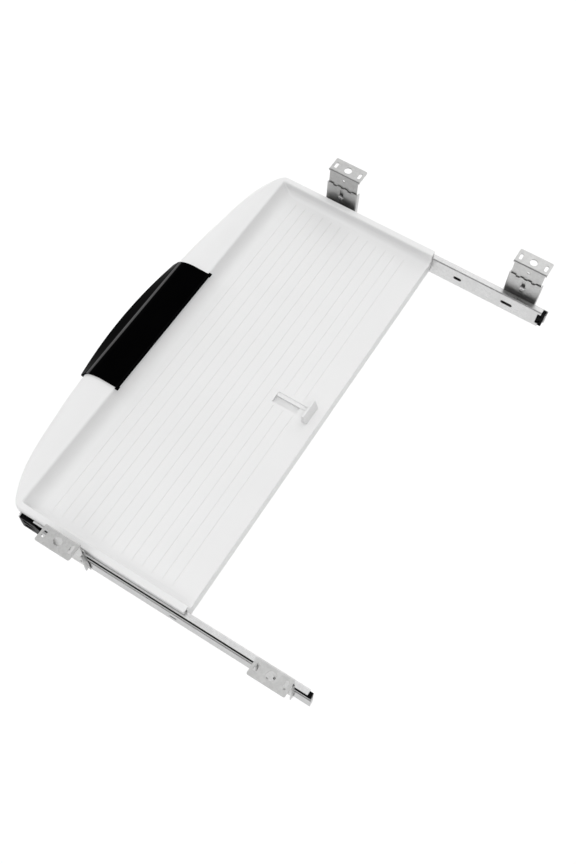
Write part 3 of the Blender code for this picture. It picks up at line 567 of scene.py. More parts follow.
class Graph:
    """Small helper around one material's node tree."""

    def __init__(self, name):
        self.material = bpy.data.materials.new(name)
        self.material.use_nodes = True
        self.tree = self.material.node_tree
        self.shader = self.tree.nodes["Principled BSDF"]
        self.coords = self.add("ShaderNodeTexCoord").outputs["Object"]

    def add(self, kind, **inputs):
        node = self.tree.nodes.new(kind)
        for name, value in inputs.items():
            node.inputs[name.replace("_", " ")].default_value = value
        return node

    def link(self, source, target):
        self.tree.links.new(source, target)

    def scaled(self, scale):
        node = self.add("ShaderNodeMapping")
        node.inputs["Scale"].default_value = scale
        self.link(self.coords, node.inputs["Vector"])
        return node.outputs["Vector"]

    def noise(self, scale, detail=3.0, roughness=0.5, vector=None):
        node = self.add("ShaderNodeTexNoise", Scale=scale, Detail=detail, Roughness=roughness)
        self.link(vector or self.coords, node.inputs["Vector"])
        return node.outputs["Fac"]

    def remap(self, value, low, high, start=0.3, end=0.7):
        node = self.add("ShaderNodeMapRange", From_Min=start, From_Max=end, To_Min=low, To_Max=high)
        self.link(value, node.inputs["Value"])
        return node.outputs["Result"]

    def mix(self, factor, first, second):
        node = self.tree.nodes.new("ShaderNodeMix")
        node.data_type = "RGBA"
        self.link(factor, node.inputs["Factor"])
        for socket, value in (("A", first), ("B", second)):
            target = [s for s in node.inputs if s.name == socket and s.type == "RGBA"][0]
            if isinstance(value, tuple):
                target.default_value = (*value, 1.0)
            else:
                self.link(value, target)
        return [s for s in node.outputs if s.type == "RGBA"][0]

    def math(self, operation, first, second):
        node = self.tree.nodes.new("ShaderNodeMath")
        node.operation = operation
        for socket, value in zip(node.inputs, (first, second)):
            if isinstance(value, float):
                socket.default_value = value
            else:
                self.link(value, socket)
        return node.outputs[0]

    def position(self):
        """Separate x, y and z of the object's own coordinates."""
        node = self.tree.nodes.new("ShaderNodeSeparateXYZ")
        self.link(self.coords, node.inputs["Vector"])
        return node.outputs["X"], node.outputs["Y"], node.outputs["Z"]

    def between(self, value, low, high, soft):
        """1 where low < value < high, fading over the soft distance outside."""
        rise = self.remap(value, 0.0, 1.0, low - soft, low)
        fall = self.remap(value, 1.0, 0.0, high, high + soft)
        return self.math("MULTIPLY", rise, fall)

    def bump(self, height, strength, distance):
        node = self.add("ShaderNodeBump", Strength=strength, Distance=distance)
        self.link(height, node.inputs["Height"])
        self.feed("Normal", node.outputs["Normal"])

    def feed(self, socket, value):
        self.link(value, self.shader.inputs[socket])

    def set(self, socket, value):
        self.shader.inputs[socket].default_value = value


def shade(colour, factor):
    return tuple(c * factor for c in colour)


def moulded_plastic(name, colour, roughness, texture, wear=0.02, specular=0.5):
    """Moulded plastic: fine spark-eroded texture, faint flow marks and handling marks."""
    g = Graph(name)
    broad = g.noise(7.0, 4.0, 0.6)
    flow = g.noise(60.0, 3.0, 0.55, g.scaled((0.35, 1.0, 1.0)))
    tint = g.remap(broad, 0.0, 1.0)
    base = g.mix(tint, shade(colour, 1.0 - wear), shade(colour, 1.0 + wear * 0.6))
    g.feed("Base Color", base)
    marks = g.remap(flow, roughness - 0.05, roughness + 0.06)
    g.feed("Roughness", marks)
    fine = g.noise(1400.0, 2.0, 0.6)
    g.bump(fine, texture, 0.00006)
    g.set("Specular IOR Level", specular)
    return g.material


def gloss_plastic(name, colour, roughness):
    """High-gloss moulding with a faint orange peel, hairline scratches, finger haze and painted highlights
    along the crest and the rear lip.
    """
    g = Graph(name)
    haze = g.noise(22.0, 5.0, 0.65)
    hair = g.noise(900.0, 2.0, 0.5, g.scaled((0.03, 1.0, 1.0)))
    smooth = g.remap(haze, roughness - 0.03, roughness + 0.05)
    scratched = g.remap(hair, 0.0, 0.03, 0.55, 0.8)
    g.feed("Roughness", g.math("ADD", smooth, scratched))
    base = g.mix(g.remap(haze, 0.0, 1.0), colour, shade(colour, 1.5))
    g.feed("Base Color", base)
    g.bump(g.noise(260.0, 2.0, 0.5), 0.04, 0.0001)
    # Painted highlight: the specular level is raised in a narrow band along the crest, and half as much
    # along the rear lip, so a highlight line shows there.
    along = g.position()[1]
    crest = g.between(along, *GRIP_HIGHLIGHT_Y, GRIP_HIGHLIGHT_FADE)
    lip_start, lip_end = (GRIP_BACK - step for step in GRIP_LIP_HIGHLIGHT)
    lip = g.between(along, lip_start, lip_end, GRIP_LIP_HIGHLIGHT_FADE)
    painted_highlight = g.math("MAXIMUM", crest, g.math("MULTIPLY", lip, 0.5))
    level = g.remap(painted_highlight, GRIP_SHEEN, GRIP_HIGHLIGHT_LEVEL, 0.0, 1.0)
    g.feed("Specular IOR Level", level)
    return g.material


def painted_track_shade(g):
    """Mask of the ball tracks inside a slide, where painted shade darkens the metal to near black."""
    x, y, z = g.position()
    u = g.math("SUBTRACT", g.math("ABSOLUTE", x, 0.0), SLIDE_X)
    v = g.math("ABSOLUTE", g.math("SUBTRACT", z, SLIDE_Z), 0.0)
    across = g.between(u, DRAWER_T, TRACK_SHADE_U, TRACK_SHADE_FADE)
    upright = g.between(v, TRACK_V - GAP, DRAWER_V - DRAWER_T + TRACK_SHADE_FADE, TRACK_SHADE_FADE)
    along = g.between(y, *TRACK_SHADE_Y, 4.0 * TRACK_SHADE_FADE)
    return g.math("MULTIPLY", g.math("MULTIPLY", across, upright), along)


def zinc(name, colour, roughness, stretch, spangle=0.05, track_shade=False):
    """Zinc-plated rolled steel: rolling grain, soft spangle, handling stains and, when asked, painted shade
    in the ball tracks.
    """
    g = Graph(name)
    grain = g.noise(2600.0, 3.0, 0.6, g.scaled(stretch))
    cells = g.add("ShaderNodeTexVoronoi", Scale=420.0)
    g.link(g.coords, cells.inputs["Vector"])
    split = g.add("ShaderNodeSeparateColor")
    g.link(cells.outputs["Color"], split.inputs["Color"])
    stains = g.noise(45.0, 5.0, 0.65)
    base = g.mix(split.outputs["Red"], shade(colour, 1.0 - spangle), shade(colour, 1.0 + spangle * 0.5))
    base = g.mix(g.remap(stains, 0.0, 0.5, 0.45, 0.8), base, shade(colour, 0.86))
    # Painted shade: the ball tracks inside the slide go near black, standing in for the shadow in the gap
    # between the members.
    if track_shade:
        base = g.mix(painted_track_shade(g), base, TRACK_SHADE)
    g.feed("Base Color", base)
    rolled = g.remap(grain, roughness - 0.07, roughness + 0.08)
    g.feed("Roughness", g.math("ADD", rolled, g.remap(stains, 0.0, 0.06)))
    g.bump(grain, 0.10, 0.00004)
    g.set("Metallic", 1.0)
    return g.material


def bright_steel(name, colour, roughness):
    """Polished steel with fine turning marks."""
    g = Graph(name)
    marks = g.noise(1800.0, 2.0, 0.5)
    g.feed("Roughness", g.remap(marks, roughness - 0.05, roughness + 0.07))
    base = g.mix(g.remap(g.noise(300.0), 0.0, 1.0), shade(colour, 0.92), colour)
    g.feed("Base Color", base)
    g.bump(marks, 0.05, 0.00003)
    g.set("Metallic", 1.0)
    return g.material


WHITE = moulded_plastic("tray_white_plastic", (0.80, 0.80, 0.80), 0.45, 0.10)
STOP_WHITE = moulded_plastic("stop_white_plastic", (0.79, 0.79, 0.79), 0.38, 0.08)
BLACK = moulded_plastic("black_moulding", (0.003, 0.003, 0.0033), 0.40, 0.12, 0.2, 0.04)
GLOSS = gloss_plastic("grip_gloss_black", (0.0008, 0.0008, 0.0009), 0.14)
ZINC_DRAWER = zinc("zinc_drawer_slide", (0.65, 0.65, 0.65), 0.27, (1.0, 0.04, 1.0), 0.05, True)
ZINC_CABINET = zinc("zinc_cabinet_slide", (0.49, 0.49, 0.49), 0.27, (1.0, 0.04, 1.0), 0.05, True)
ZINC_PLATE = zinc("zinc_bracket_steel", (0.575, 0.575, 0.57), 0.36, (1.0, 0.05, 0.05), 0.07)
STEEL = bright_steel("bright_steel", (0.60, 0.60, 0.61), 0.22)
FASTENER = bright_steel("zinc_fastener", (0.62, 0.62, 0.62), 0.30)


# ---- tray


def bow(x):
    """The y of the tray's curved front edge."""
    return BOW_Y + BOW_K2 * x * x + BOW_K4 * x ** 4


def tray_outline(segments=96, corner=18):
    """Plan of the rim: bowed front, eased front corners, square back."""
    slope = 2.0 * BOW_K2 * BOW_HALF + 4.0 * BOW_K4 * BOW_HALF ** 3
    start = (BOW_HALF, bow(BOW_HALF))
    control = (RIM_OUT, start[1] + slope * (RIM_OUT - BOW_HALF))
    end = (RIM_OUT, CORNER_Y)
    arc = []
    for i in range(1, corner + 1):
        w = easing(i / corner)
        arc.append(tuple(w[0] * start[k] + w[1] * control[k] + w[2] * end[k] for k in (0, 1)))
    front = []
    for i in range(segments + 1):
        x = BOW_HALF * (2.0 * i / segments - 1.0)
        front.append((x, bow(x)))
    right = arc + arc_corner(arc[-1], (RIM_OUT, BACK_Y), (0.0, BACK_Y), BACK_CORNER, 6)
    return front + right + [(-x, y) for x, y in right[::-1]]


def inset(outline, distances):
    """The outline moved inwards by its own distance at each point."""
    result = []
    count = len(outline)
    for i, point in enumerate(outline):
        n0 = normal(outline[i - 1], point)
        n1 = normal(point, outline[(i + 1) % count])
        scale = distances[i] / (1.0 + n0[0] * n1[0] + n0[1] * n1[1])
        result.append((point[0] - (n0[0] + n1[0]) * scale, point[1] - (n0[1] + n1[1]) * scale))
    return result


def roll_fade(x):
    """0 where the front edge is fully rolled, 1 where the roll has faded out."""
    t = min(max((abs(x) - ROLL_FADE_START) / (ROLL_FADE_END - ROLL_FADE_START), 0.0), 1.0)
    return t * t * (3.0 - 2.0 * t)


def roll_size(x):
    fade = roll_fade(x)
    return ROLL_IN + (RIM_ROUND - ROLL_IN) * fade, ROLL_DOWN + (RIM_ROUND - ROLL_DOWN) * fade


def rim_radii(point):
    if point[1] > BACK_Y - BACK_ROUND:
        return BACK_RIM_ROUND, BACK_RIM_ROUND
    return roll_size(point[0])


def rim_rings(steps=16):
    """Rim and rolled front edge, as outlines from the bottom up."""
    outline = tray_outline()
    radii = [rim_radii(p) for p in outline]
    rings = [[(x, y, RIM_Z - ROLL_DOWN - ROLL_LIP) for x, y in outline]]
    for sine, cosine in quarter(steps):
        moved = inset(outline, [r[0] * (1.0 - cosine) for r in radii])
        rings.append([(p[0], p[1], RIM_Z - r[1] * (1.0 - sine)) for p, r in zip(moved, radii)])
    return rings


def rim_underside(side, count=40):
    """Space below the rim, which gets thinner as the roll fades."""
    curve = []
    for i in range(count + 1):
        x = ROLL_FADE_START + (ROLL_FADE_END - ROLL_FADE_START) * i / count
        curve.append((x, RIM_Z - max(RIM_DEPTH, roll_size(x)[1] + ROLL_LIP)))
    low = RIM_Z - ROLL_DOWN - ROLL_LIP - SPARE
    out = RIM_OUT + SPARE
    curve = [(curve[0][0] - 2.0 * SPARE, low)] + curve + [(out, curve[-1][1]), (out, low)]
    return prism(mirrored(curve, side), "XZ", BOW_Y - 2.0 * SPARE, BACK_Y + 2.0 * SPARE)


def well_ring(height, depth, lip, count=7):
    """Plan outline of the keyboard well at a height above the floor."""
    w = easing(1.0 - math.sqrt(height / depth))
    front = w[0] * WELL_TOP_Y + w[1] * (WELL_TOP_Y + WELL_EASE) + w[2] * WELL_FLOOR_Y - lip
    rise = min(height, WELL_FILLET)
    half = WALL_IN - WELL_FILLET + math.sqrt(WELL_FILLET ** 2 - (WELL_FILLET - rise) ** 2) + lip
    back = BACK_Y + 3.0 * SPARE
    left = arc_corner((-half, back), (-half, front), (half, front), WELL_CORNER, count)
    right = [(-x, y) for x, y in left[::-1]]
    return [(-half, back)] + left + right + [(half, back)]


def well_cutter(steps=30, lips=5):
    depth = RIM_Z - FLOOR_Z
    rings = []
    for k in range(steps + 1):
        t = 1.0 - k / steps
        height = (depth - WELL_LIP) * (1.0 - t) ** 2
        rings.append([(x, y, FLOOR_Z + height) for x, y in well_ring(height, depth, 0.0)])
    for sine, cosine in quarter(lips)[1:]:
        height = depth - WELL_LIP + WELL_LIP * sine
        lip = WELL_LIP * (1.0 - cosine)
        rings.append([(x, y, FLOOR_Z + height) for x, y in well_ring(height, depth, lip)])
    rings.append([(x, y, RIM_Z + 4.0 * SPARE) for x, y, _ in rings[-1]])
    bm = bmesh.new()
    add_loft(bm, rings)
    return bm


def cell_cutters():
    bm = bmesh.new()
    half = WALL_OUT - FLOOR_T
    front = BODY_FRONT_Y + FLOOR_T
    back = BACK_Y - FLOOR_T
    width = (2.0 * half - (CELLS_X - 1) * RIB_T) / CELLS_X
    depth = (back - front - (CELLS_Y - 1) * RIB_T) / CELLS_Y
    for i in range(CELLS_X):
        for j in range(CELLS_Y):
            x = -half + i * (width + RIB_T)
            y = front + j * (depth + RIB_T)
            outline = rounded_loop(rectangle(x, x + width, y, y + depth), CELL_CORNER, 4)
            add_prism(bm, outline, "XY", SKIRT_Z - SPARE, FLOOR_Z - FLOOR_T)
    return bm


def rib_height_cutter():
    half = WALL_OUT - FLOOR_T
    area = rectangle(-half, half, BODY_FRONT_Y + FLOOR_T, BACK_Y - FLOOR_T)
    return prism(rounded_loop(area, CELL_CORNER, 4), "XY", SKIRT_Z - 2.0 * SPARE, RIB_Z)


def deck_hollow(stations=60, steps=10):
    """Space under the front deck, one wall thickness inside its skin."""
    back = BODY_FRONT_Y - DECK_WEB
    low = RIM_Z - ROLL_DOWN - ROLL_LIP - 2.0 * SPARE
    rings = []
    for i in range(stations + 1):
        x = DECK_HOLLOW_HALF * (2.0 * i / stations - 1.0)
        reach, drop = (max(r - DECK_WALL, DECK_TIGHTEST) for r in roll_size(x))
        section = [(x, back, low), (x, bow(x) + DECK_WALL, low)]
        for sine, cosine in quarter(steps):
            y = bow(x) + DECK_WALL + reach * (1.0 - cosine)
            section.append((x, y, RIM_Z - DECK_WALL - drop * (1.0 - sine)))
        section.append((x, back, RIM_Z - DECK_WALL))
        rings.append(section)
    bm = bmesh.new()
    add_loft(bm, rings)
    return bm


def slide_channels():
    bm = bmesh.new()
    plate = RIM_Z - RIM_PLATE
    lip = RIM_OUT - RIM_LIP
    profile = [(WALL_OUT, plate), (lip, plate), (lip, SKIRT_Z), (WALL_OUT, SKIRT_Z)]
    for side in (1.0, -1.0):
        add_prism(bm, mirrored(profile, side), "XZ", CORNER_Y - SPARE, BACK_Y + 2.0 * SPARE)
    return bm


def back_edge_round(count=6):
    """Outside of the rounded edge where the floor ends at the open back."""
    start = BACK_Y - BACK_ROUND
    low = FLOOR_Z - BACK_ROUND
    out = BACK_Y + SPARE
    over = FLOOR_Z + SPARE
    arc = [(start + BACK_ROUND * sine, low + BACK_ROUND * cosine) for sine, cosine in quarter(count)]
    outline = [(start, over)] + arc + [(out, low), (out, over)]
    return prism(outline, "YZ", -WALL_IN + WELL_FILLET, WALL_IN - WELL_FILLET)


def floor_grooves():
    bm = bmesh.new()
    keep_out = SLOT_HALF + GROOVE_CLEARANCE
    for k in range(GROOVES):
        y = GROOVE_Y + k * GROOVE_PITCH
        profile = [(y + a * MM, FLOOR_Z + b * MM) for a, b in GROOVE_SECTION]
        spans = [(-GROOVE_HALF, GROOVE_HALF)]
        if y > SLOT_FRONT - 0.5 * GROOVE_CLEARANCE:
            spans = [(-GROOVE_HALF, -keep_out), (keep_out, GROOVE_HALF)]
        for x0, x1 in spans:
            add_prism(bm, profile, "YZ", x0, x1)
    return bm


def cut_stop_slot(tray):
    """Trough that the stop's foot slides in, its undercut and the ledge beside it."""
    slot = (SLOT_FRONT, SLOT_BACK)
    above = FLOOR_Z + SPARE
    grown = (LEDGE_X - UNDERCUT, SLOT_HALF + UNDERCUT)
    width = (grown[0] - TROUGH_WALL, grown[1] + TROUGH_WALL)
    length = (slot[0] - TROUGH_WALL, slot[1] + TROUGH_WALL)
    unite(tray, box(width, length, (TROUGH_Z - TROUGH_T, FLOOR_Z - SPARE)))
    boolean(tray, box((LEDGE_X, SLOT_HALF), slot, (TROUGH_Z, above)))
    boolean(tray, box(grown, slot, (TROUGH_Z, UNDERCUT_Z)))
    boolean(tray, box((-SLOT_HALF, LEDGE_X + SPARE), slot, (FLOOR_Z - LEDGE_DROP, above)))


def build_tray():
    bm = bmesh.new()
    add_loft(bm, rim_rings())
    tray = new_object("tray_shell", bm)
    for side in (1.0, -1.0):
        boolean(tray, rim_underside(side))
    plan = rectangle(-WALL_OUT, WALL_OUT, BODY_FRONT_Y, BACK_Y)
    body = rounded_loop(plan, [BODY_CORNER, BODY_CORNER, 0.0, 0.0], 6)
    unite(tray, prism(body, "XY", SKIRT_Z, BODY_TOP))
    for cutter in (well_cutter(), cell_cutters(), rib_height_cutter(), deck_hollow(), slide_channels(),
                   back_edge_round(), floor_grooves()):
        boolean(tray, cutter)
    cut_stop_slot(tray)
    holes = bmesh.new()
    for side in (1.0, -1.0):
        reach = span(side, WALL_IN - 4.0 * SPARE, WALL_OUT + SPARE)
        for y in SCREW_Y:
            drill(holes, y, SLIDE_Z, SCREW_PILOT_R, reach)
    boolean(tray, holes)
    finish(tray, "tray", ["tray"], WHITE, 32.0)


# ---- grip, stop


def grip_section(reach, steps=24):
    """Section of the grip at a reach from its middle: over the arch and back inside."""
    x = GRIP_X + reach
    front = GRIP_FRONT + GRIP_BOW * reach * reach
    edge = bow(x)
    top = RIM_Z + GRIP_T
    lip = GRIP_BACK - GRIP_REAR_LIP
    outer = [(GRIP_BACK, RIM_Z + GAP)]
    outer += arc_corner((GRIP_BACK, RIM_Z + GAP), (GRIP_BACK, top), (lip, top), GRIP_BACK_ROUND, 6)
    groove = [lip - step for step in GRIP_GROOVE_Y]
    outer += [(lip, top), (groove[0], top - GRIP_GROOVE_D), (groove[1], top - GRIP_GROOVE_D),
              (groove[2], top)]
    crease = math.acos((GRIP_ARCH_Y - GRIP_CREASE_Y) / GRIP_ARCH_IN)
    for k in range(steps + 1):
        angle = 0.5 * math.pi + (crease - 0.5 * math.pi) * k / steps
        y = GRIP_ARCH_Y - GRIP_ARCH_IN * math.cos(angle)
        outer.append((y, top - GRIP_ARCH_DOWN * (1.0 - math.sin(angle))))
    lower = [(front, GRIP_LIP_Z), (front + GRIP_LIP_LEAN, GRIP_BOTTOM),
             (front + GRIP_LIP_DEPTH, GRIP_BOTTOM)]
    outer += rounded_path([outer[-1]] + lower, GRIP_LIP_ROUND, 6)[1:-1]
    foot = math.asin(1.0 - (RIM_Z - GRIP_BOTTOM) / ROLL_DOWN)
    inner = []
    for k in range(steps + 1):
        angle = foot + (0.5 * math.pi - foot) * k / steps
        y = edge + ROLL_IN * (1.0 - math.cos(angle)) - GAP * math.cos(angle)
        inner.append((y, RIM_Z - ROLL_DOWN * (1.0 - math.sin(angle)) + GAP * math.sin(angle)))
    return [(x, y, z) for y, z in outer + inner]


def build_grip(stations=72):
    bm = bmesh.new()
    reaches = [GRIP_HALF * (2.0 * i / stations - 1.0) for i in range(stations + 1)]
    add_loft(bm, [grip_section(reach) for reach in reaches])
    grip = new_object("grip_cover", bm)
    for side in (1.0, -1.0):
        x0, x1 = (GRIP_X + x for x in span(side, GRIP_HALF - GRIP_TAB_ROOT, GRIP_HALF + GRIP_TAB))
        plan = rectangle(x0, x1, GRIP_BACK - GRIP_TAB_ROOT, GRIP_BACK + GRIP_TAB_BACK)
        tab = rounded_loop(plan, GRIP_TAB_CORNER, 4)
        unite(grip, prism(tab, "XY", RIM_Z + GAP, RIM_Z + GRIP_TAB_T))
    round_edges(grip, GRIP_EDGE, 3, 62.0)
    finish(grip, "tray", ["grip"], GLOSS, 24.0)


def build_stop():
    lift = FLOOR_Z + GAP
    back = STOP_BACK
    upright = [(back - STOP_T, lift), (back + STOP_LEAN, lift), (back, STOP_TOP),
               (back - STOP_T, STOP_TOP)]
    stop = new_object("stop_tab", prism(upright, "YZ", -STOP_HALF, STOP_HALF))
    low = TROUGH_Z + GAP
    foot = (STOP_BASE_FRONT, back - FOOT_BACK)
    across = (LEDGE_X + GAP, SLOT_HALF - GAP)
    foot_top = FLOOR_Z - FOOT_DROP
    unite(stop, box(across, (back - STOP_T, foot[1]), (foot_top - SPARE, lift + SPARE)))
    unite(stop, box(across, foot, (low, foot_top)))
    flange = (LEDGE_X - UNDERCUT + GAP, SLOT_HALF + UNDERCUT - GAP)
    inside = (foot[0] + FOOT_FLANGE_IN, foot[1] - FOOT_FLANGE_IN)
    unite(stop, box(flange, inside, (low, UNDERCUT_Z - GAP)))
    round_edges(stop, STOP_EDGE, 3)
    finish(stop, "stop", ["stop_slider"], STOP_WHITE)


# ---- slides


def add_run(bm, side, section, start, end):
    """A section across a slide, in u and v, drawn out along y."""
    outline = [(side * (SLIDE_X + u), SLIDE_Z + v) for u, v in section]
    add_prism(bm, outline, "XZ", start, end)


def run(side, section, start, end):
    bm = bmesh.new()
    add_run(bm, side, section, start, end)
    return bm


def web_span(side, u0, u1, margin=WEB_CLEAR):
    """Reach across a slide's web, a little past both of its faces."""
    return span(side, SLIDE_X + u0 - margin, SLIDE_X + u1 + margin)


def build_drawer_member(side, label):
    path = [(DRAWER_U, DRAWER_V), (0.0, DRAWER_V), (0.0, -DRAWER_V), (DRAWER_U, -DRAWER_V)]
    outline = strip(rounded_path(path, BEND_R, 8), -DRAWER_T)
    member = new_object("drawer_slide_" + label, run(side, outline, DRAWER_FRONT, DRAWER_BACK))
    tab = rectangle(0.0, FRONT_TAB_U, *FRONT_TAB_V)
    tab = rounded_loop(tab, [0.0, FRONT_TAB_CORNER, FRONT_TAB_CORNER, 0.0])
    unite(member, run(side, tab, DRAWER_FRONT - TAB_PROUD, DRAWER_FRONT + DRAWER_T))
    cut = bmesh.new()
    for sign in (1.0, -1.0):
        ends = sorted((sign * DRAWER_WEB_HALF, sign * (DRAWER_V + SPARE)))
        flange = rectangle(DRAWER_T + WEB_CLEAR, DRAWER_U + SPARE, *ends)
        add_run(cut, side, flange, DRAWER_FRONT + FRONT_TAB_CLEAR, DRAWER_FLANGE_FRONT)
    boolean(member, cut)
    slots = bmesh.new()
    through = web_span(side, 0.0, DRAWER_T)
    for y, length in WEB_SLOTS:
        add_prism(slots, obround(y, SLIDE_Z, length, WEB_SLOT_W), "YZ", *through)
    for y in SCREW_Y:
        drill(slots, y, SLIDE_Z, SCREW_CLEAR_R, through)
    low, high = (SLIDE_Z + v for v in END_NOTCH_V)
    end = rectangle(DRAWER_BACK - END_NOTCH_DEPTH, DRAWER_BACK + SPARE, low, high)
    end = rounded_loop(end, [END_NOTCH_CORNER, 0.0, 0.0, END_NOTCH_CORNER], 4)
    add_prism(slots, end, "YZ", *through)
    boolean(member, slots)
    round_edges(member, DRAWER_EDGE)
    finish(member, "tray", ["drawer_member_" + label], ZINC_DRAWER)


def build_cabinet_member(side, label):
    half = [(TRACK_U, TRACK_V), (STEP_U[0], TRACK_V), (STEP_U[1], CABINET_V), (CABINET_U, CABINET_V)]
    path = half + [(u, -v) for u, v in half[::-1]]
    radii = STEP_OUTER + STEP_OUTER[::-1] + STEP_INNER + STEP_INNER[::-1]
    section = rounded_loop(strip(path, CABINET_T), radii, 4)
    member = new_object("cabinet_slide_" + label, run(side, section, CABINET_FRONT, CABINET_BACK))
    reach = span(side, SLIDE_X + TRACK_U - SPARE, SLIDE_X + LIP_CUT_U)
    length = (BUMPER_FRONT - LIP_CUT_LEAD, CABINET_BACK + SPARE)
    for sign in (1.0, -1.0):
        inner = SLIDE_Z + sign * (TRACK_V - CABINET_T - SPARE)
        ends = sorted((inner, SLIDE_Z + sign * (CABINET_V + SPARE)))
        boolean(member, box(reach, length, ends))
    tab = rectangle(*REAR_TAB_U, -REAR_TAB_V, REAR_TAB_V)
    tab = rounded_loop(tab, [REAR_TAB_CORNER, 0.0, 0.0, REAR_TAB_CORNER])
    unite(member, run(side, tab, CABINET_BACK - CABINET_T, CABINET_BACK + TAB_PROUD))
    slots = bmesh.new()
    through = web_span(side, CABINET_U - CABINET_T, CABINET_U)
    add_prism(slots, obround(CABINET_SLOT_Y, SLIDE_Z, *CABINET_SLOT), "YZ", *through)
    for sign in (-1.0, 1.0):
        for dy in (-RIVET_DY, RIVET_DY):
            drill(slots, sign * BRACKET_Y + dy, SLIDE_Z, RIVET_HOLE_R, through)
    boolean(member, slots)
    round_edges(member, CABINET_EDGE)
    finish(member, "rails", ["cabinet_member_" + label], ZINC_CABINET)


def build_retainer(side, label):
    v = BALL_V + RETAINER_T / 2.0
    web, lip = RETAINER_U
    path = [(lip, v), (web, v), (web, -v), (lip, -v)]
    outline = strip(rounded_path(path, RETAINER_BEND, 5), -RETAINER_T)
    cage = new_object("ball_cage_" + label, run(side, outline, RETAINER_FRONT, RETAINER_BACK))
    windows = bmesh.new()
    through = web_span(side, web, web + RETAINER_T)
    pitch = (RETAINER_BACK - RETAINER_FRONT) / BALLS
    for i in range(BALLS - 1):
        y = RETAINER_FRONT + pitch * (i + 1.0)
        add_prism(windows, obround(y, SLIDE_Z, *RETAINER_WINDOW, 8, True), "YZ", *through)
    boolean(cage, windows)
    balls = bmesh.new()
    x = side * (SLIDE_X + BALL_U)
    for sign in (1.0, -1.0):
        for i in range(BALLS):
            ball = bmesh.ops.create_uvsphere(balls, u_segments=24, v_segments=16, radius=BALL_R)
            at = (x, RETAINER_FRONT + pitch * (i + 0.5), SLIDE_Z + sign * BALL_V)
            bmesh.ops.translate(balls, vec=at, verts=ball["verts"])
    unite(cage, balls)
    finish(cage, "retainer_" + label, ["ball_retainer_" + label], STEEL)


def build_detent(side, label):
    front = DRAWER_FRONT + DRAWER_T + WEB_CLEAR
    back = DETENT_BACK
    half = DETENT_HALF
    flat = half - DETENT_CHAMFER
    slope = back - DETENT_CHAMFER
    outline = [(front, -half), (slope, -half), (back, -flat), (back, flat), (slope, half), (front, half)]
    outline = rounded_loop([(y, SLIDE_Z + z) for y, z in outline], DETENT_CORNER, 4)
    body = prism(outline, "YZ", *web_span(side, DRAWER_T + GAP, DETENT_U, 0.0))
    detent = new_object("detent_" + label, body)
    cut = bmesh.new()
    corner, point = (0.5 * (front + back) + reach for reach in DETENT_POCKET_Y)
    deep = web_span(side, DETENT_POCKET_U, DETENT_U + WEB_CLEAR, 0.0)
    for sign in (1.0, -1.0):
        low, high = (SLIDE_Z + sign * v for v in DETENT_POCKET_V)
        pocket = [(corner, low), (point, low), (corner, high)]
        add_prism(cut, rounded_loop(pocket, DETENT_POCKET_CORNER, 4), "YZ", *deep)
    boolean(detent, cut)
    top = rectangle(*DETENT_TOP_U, *DETENT_TOP_V)
    boolean(detent, run(side, top, front + DETENT_TOP_Y[0], back - DETENT_TOP_Y[1]))
    round_edges(detent, DETENT_EDGE)
    finish(detent, "tray", ["front_detent_" + label], BLACK)


def build_bumper(side, label):
    front = BUMPER_FRONT
    back = CABINET_BACK - CABINET_T - GAP
    half = BUMPER_HALF
    flat = half - BUMPER_CHAMFER
    shoulder = front + BUMPER_CHAMFER
    outline = [(shoulder, -half), (back, -half), (back, half), (shoulder, half), (front, flat),
               (front, BUMPER_MOUTH), (front + BUMPER_MOUTH_DEPTH, 0.0), (front, -BUMPER_MOUTH),
               (front, -flat)]
    outline = rounded_loop([(y, SLIDE_Z + z) for y, z in outline], BUMPER_CORNER, 4)
    bumper = new_object("bumper_" + label, prism(outline, "YZ", *web_span(side, *BUMPER_U, 0.0)))
    reach = web_span(side, BUMPER_U[0], CABINET_U - BUMPER_SHOE_U, 0.0)
    unite(bumper, box(reach, (shoulder, back), (SLIDE_Z - BUMPER_SHOE, SLIDE_Z + BUMPER_SHOE)))
    cut = bmesh.new()
    deep = web_span(side, *BUMPER_HOLE_U, 0.0)
    for v in (-BUMPER_HOLE_V, BUMPER_HOLE_V):
        drill(cut, back - BUMPER_HOLE_IN, SLIDE_Z + v, BUMPER_HOLE_R, deep)
    boolean(bumper, cut)
    round_edges(bumper, BUMPER_EDGE)
    finish(bumper, "rails", ["rear_bumper_" + label], BLACK)


# ---- fasteners


def lathe(name, profile, side, y, z, segments=40):
    rings = []
    for x, radius in profile:
        rings.append([(side * x, y + a, z + b) for a, b in circle(0.0, 0.0, radius, segments)])
    bm = bmesh.new()
    add_loft(bm, rings)
    return new_object(name, bm)


def domed(x0, x1, radius, crown, steps=5):
    """Head profile from its rim at x0 to its crown at x1."""
    height = x1 - x0
    slope = radius - crown
    return [(x0 + height * sine, crown + slope * cosine) for sine, cosine in quarter(steps)]


def build_tray_screw(side, label, y):
    head = SLIDE_X + DRAWER_T + GAP
    point, thread = (WALL_IN - step for step in SCREW_TIP)
    profile = [(point, SCREW_TIP_R), (thread, SCREW_R)]
    for i in range(SCREW_TURNS * 2):
        x = thread + SCREW_LEAD + i * SCREW_STEP
        profile.append((x, SCREW_R if i % 2 else SCREW_ROOT_R))
    profile += [(head, SCREW_R), (head, SCREW_HEAD_R)]
    profile += domed(head + SCREW_RIM, head + SCREW_HEAD_T, SCREW_HEAD_R, SCREW_R)
    screw = lathe("screw_tray_" + label, profile, side, y, SLIDE_Z)
    finish(screw, "tray", ["tray_screw_" + label], FASTENER)


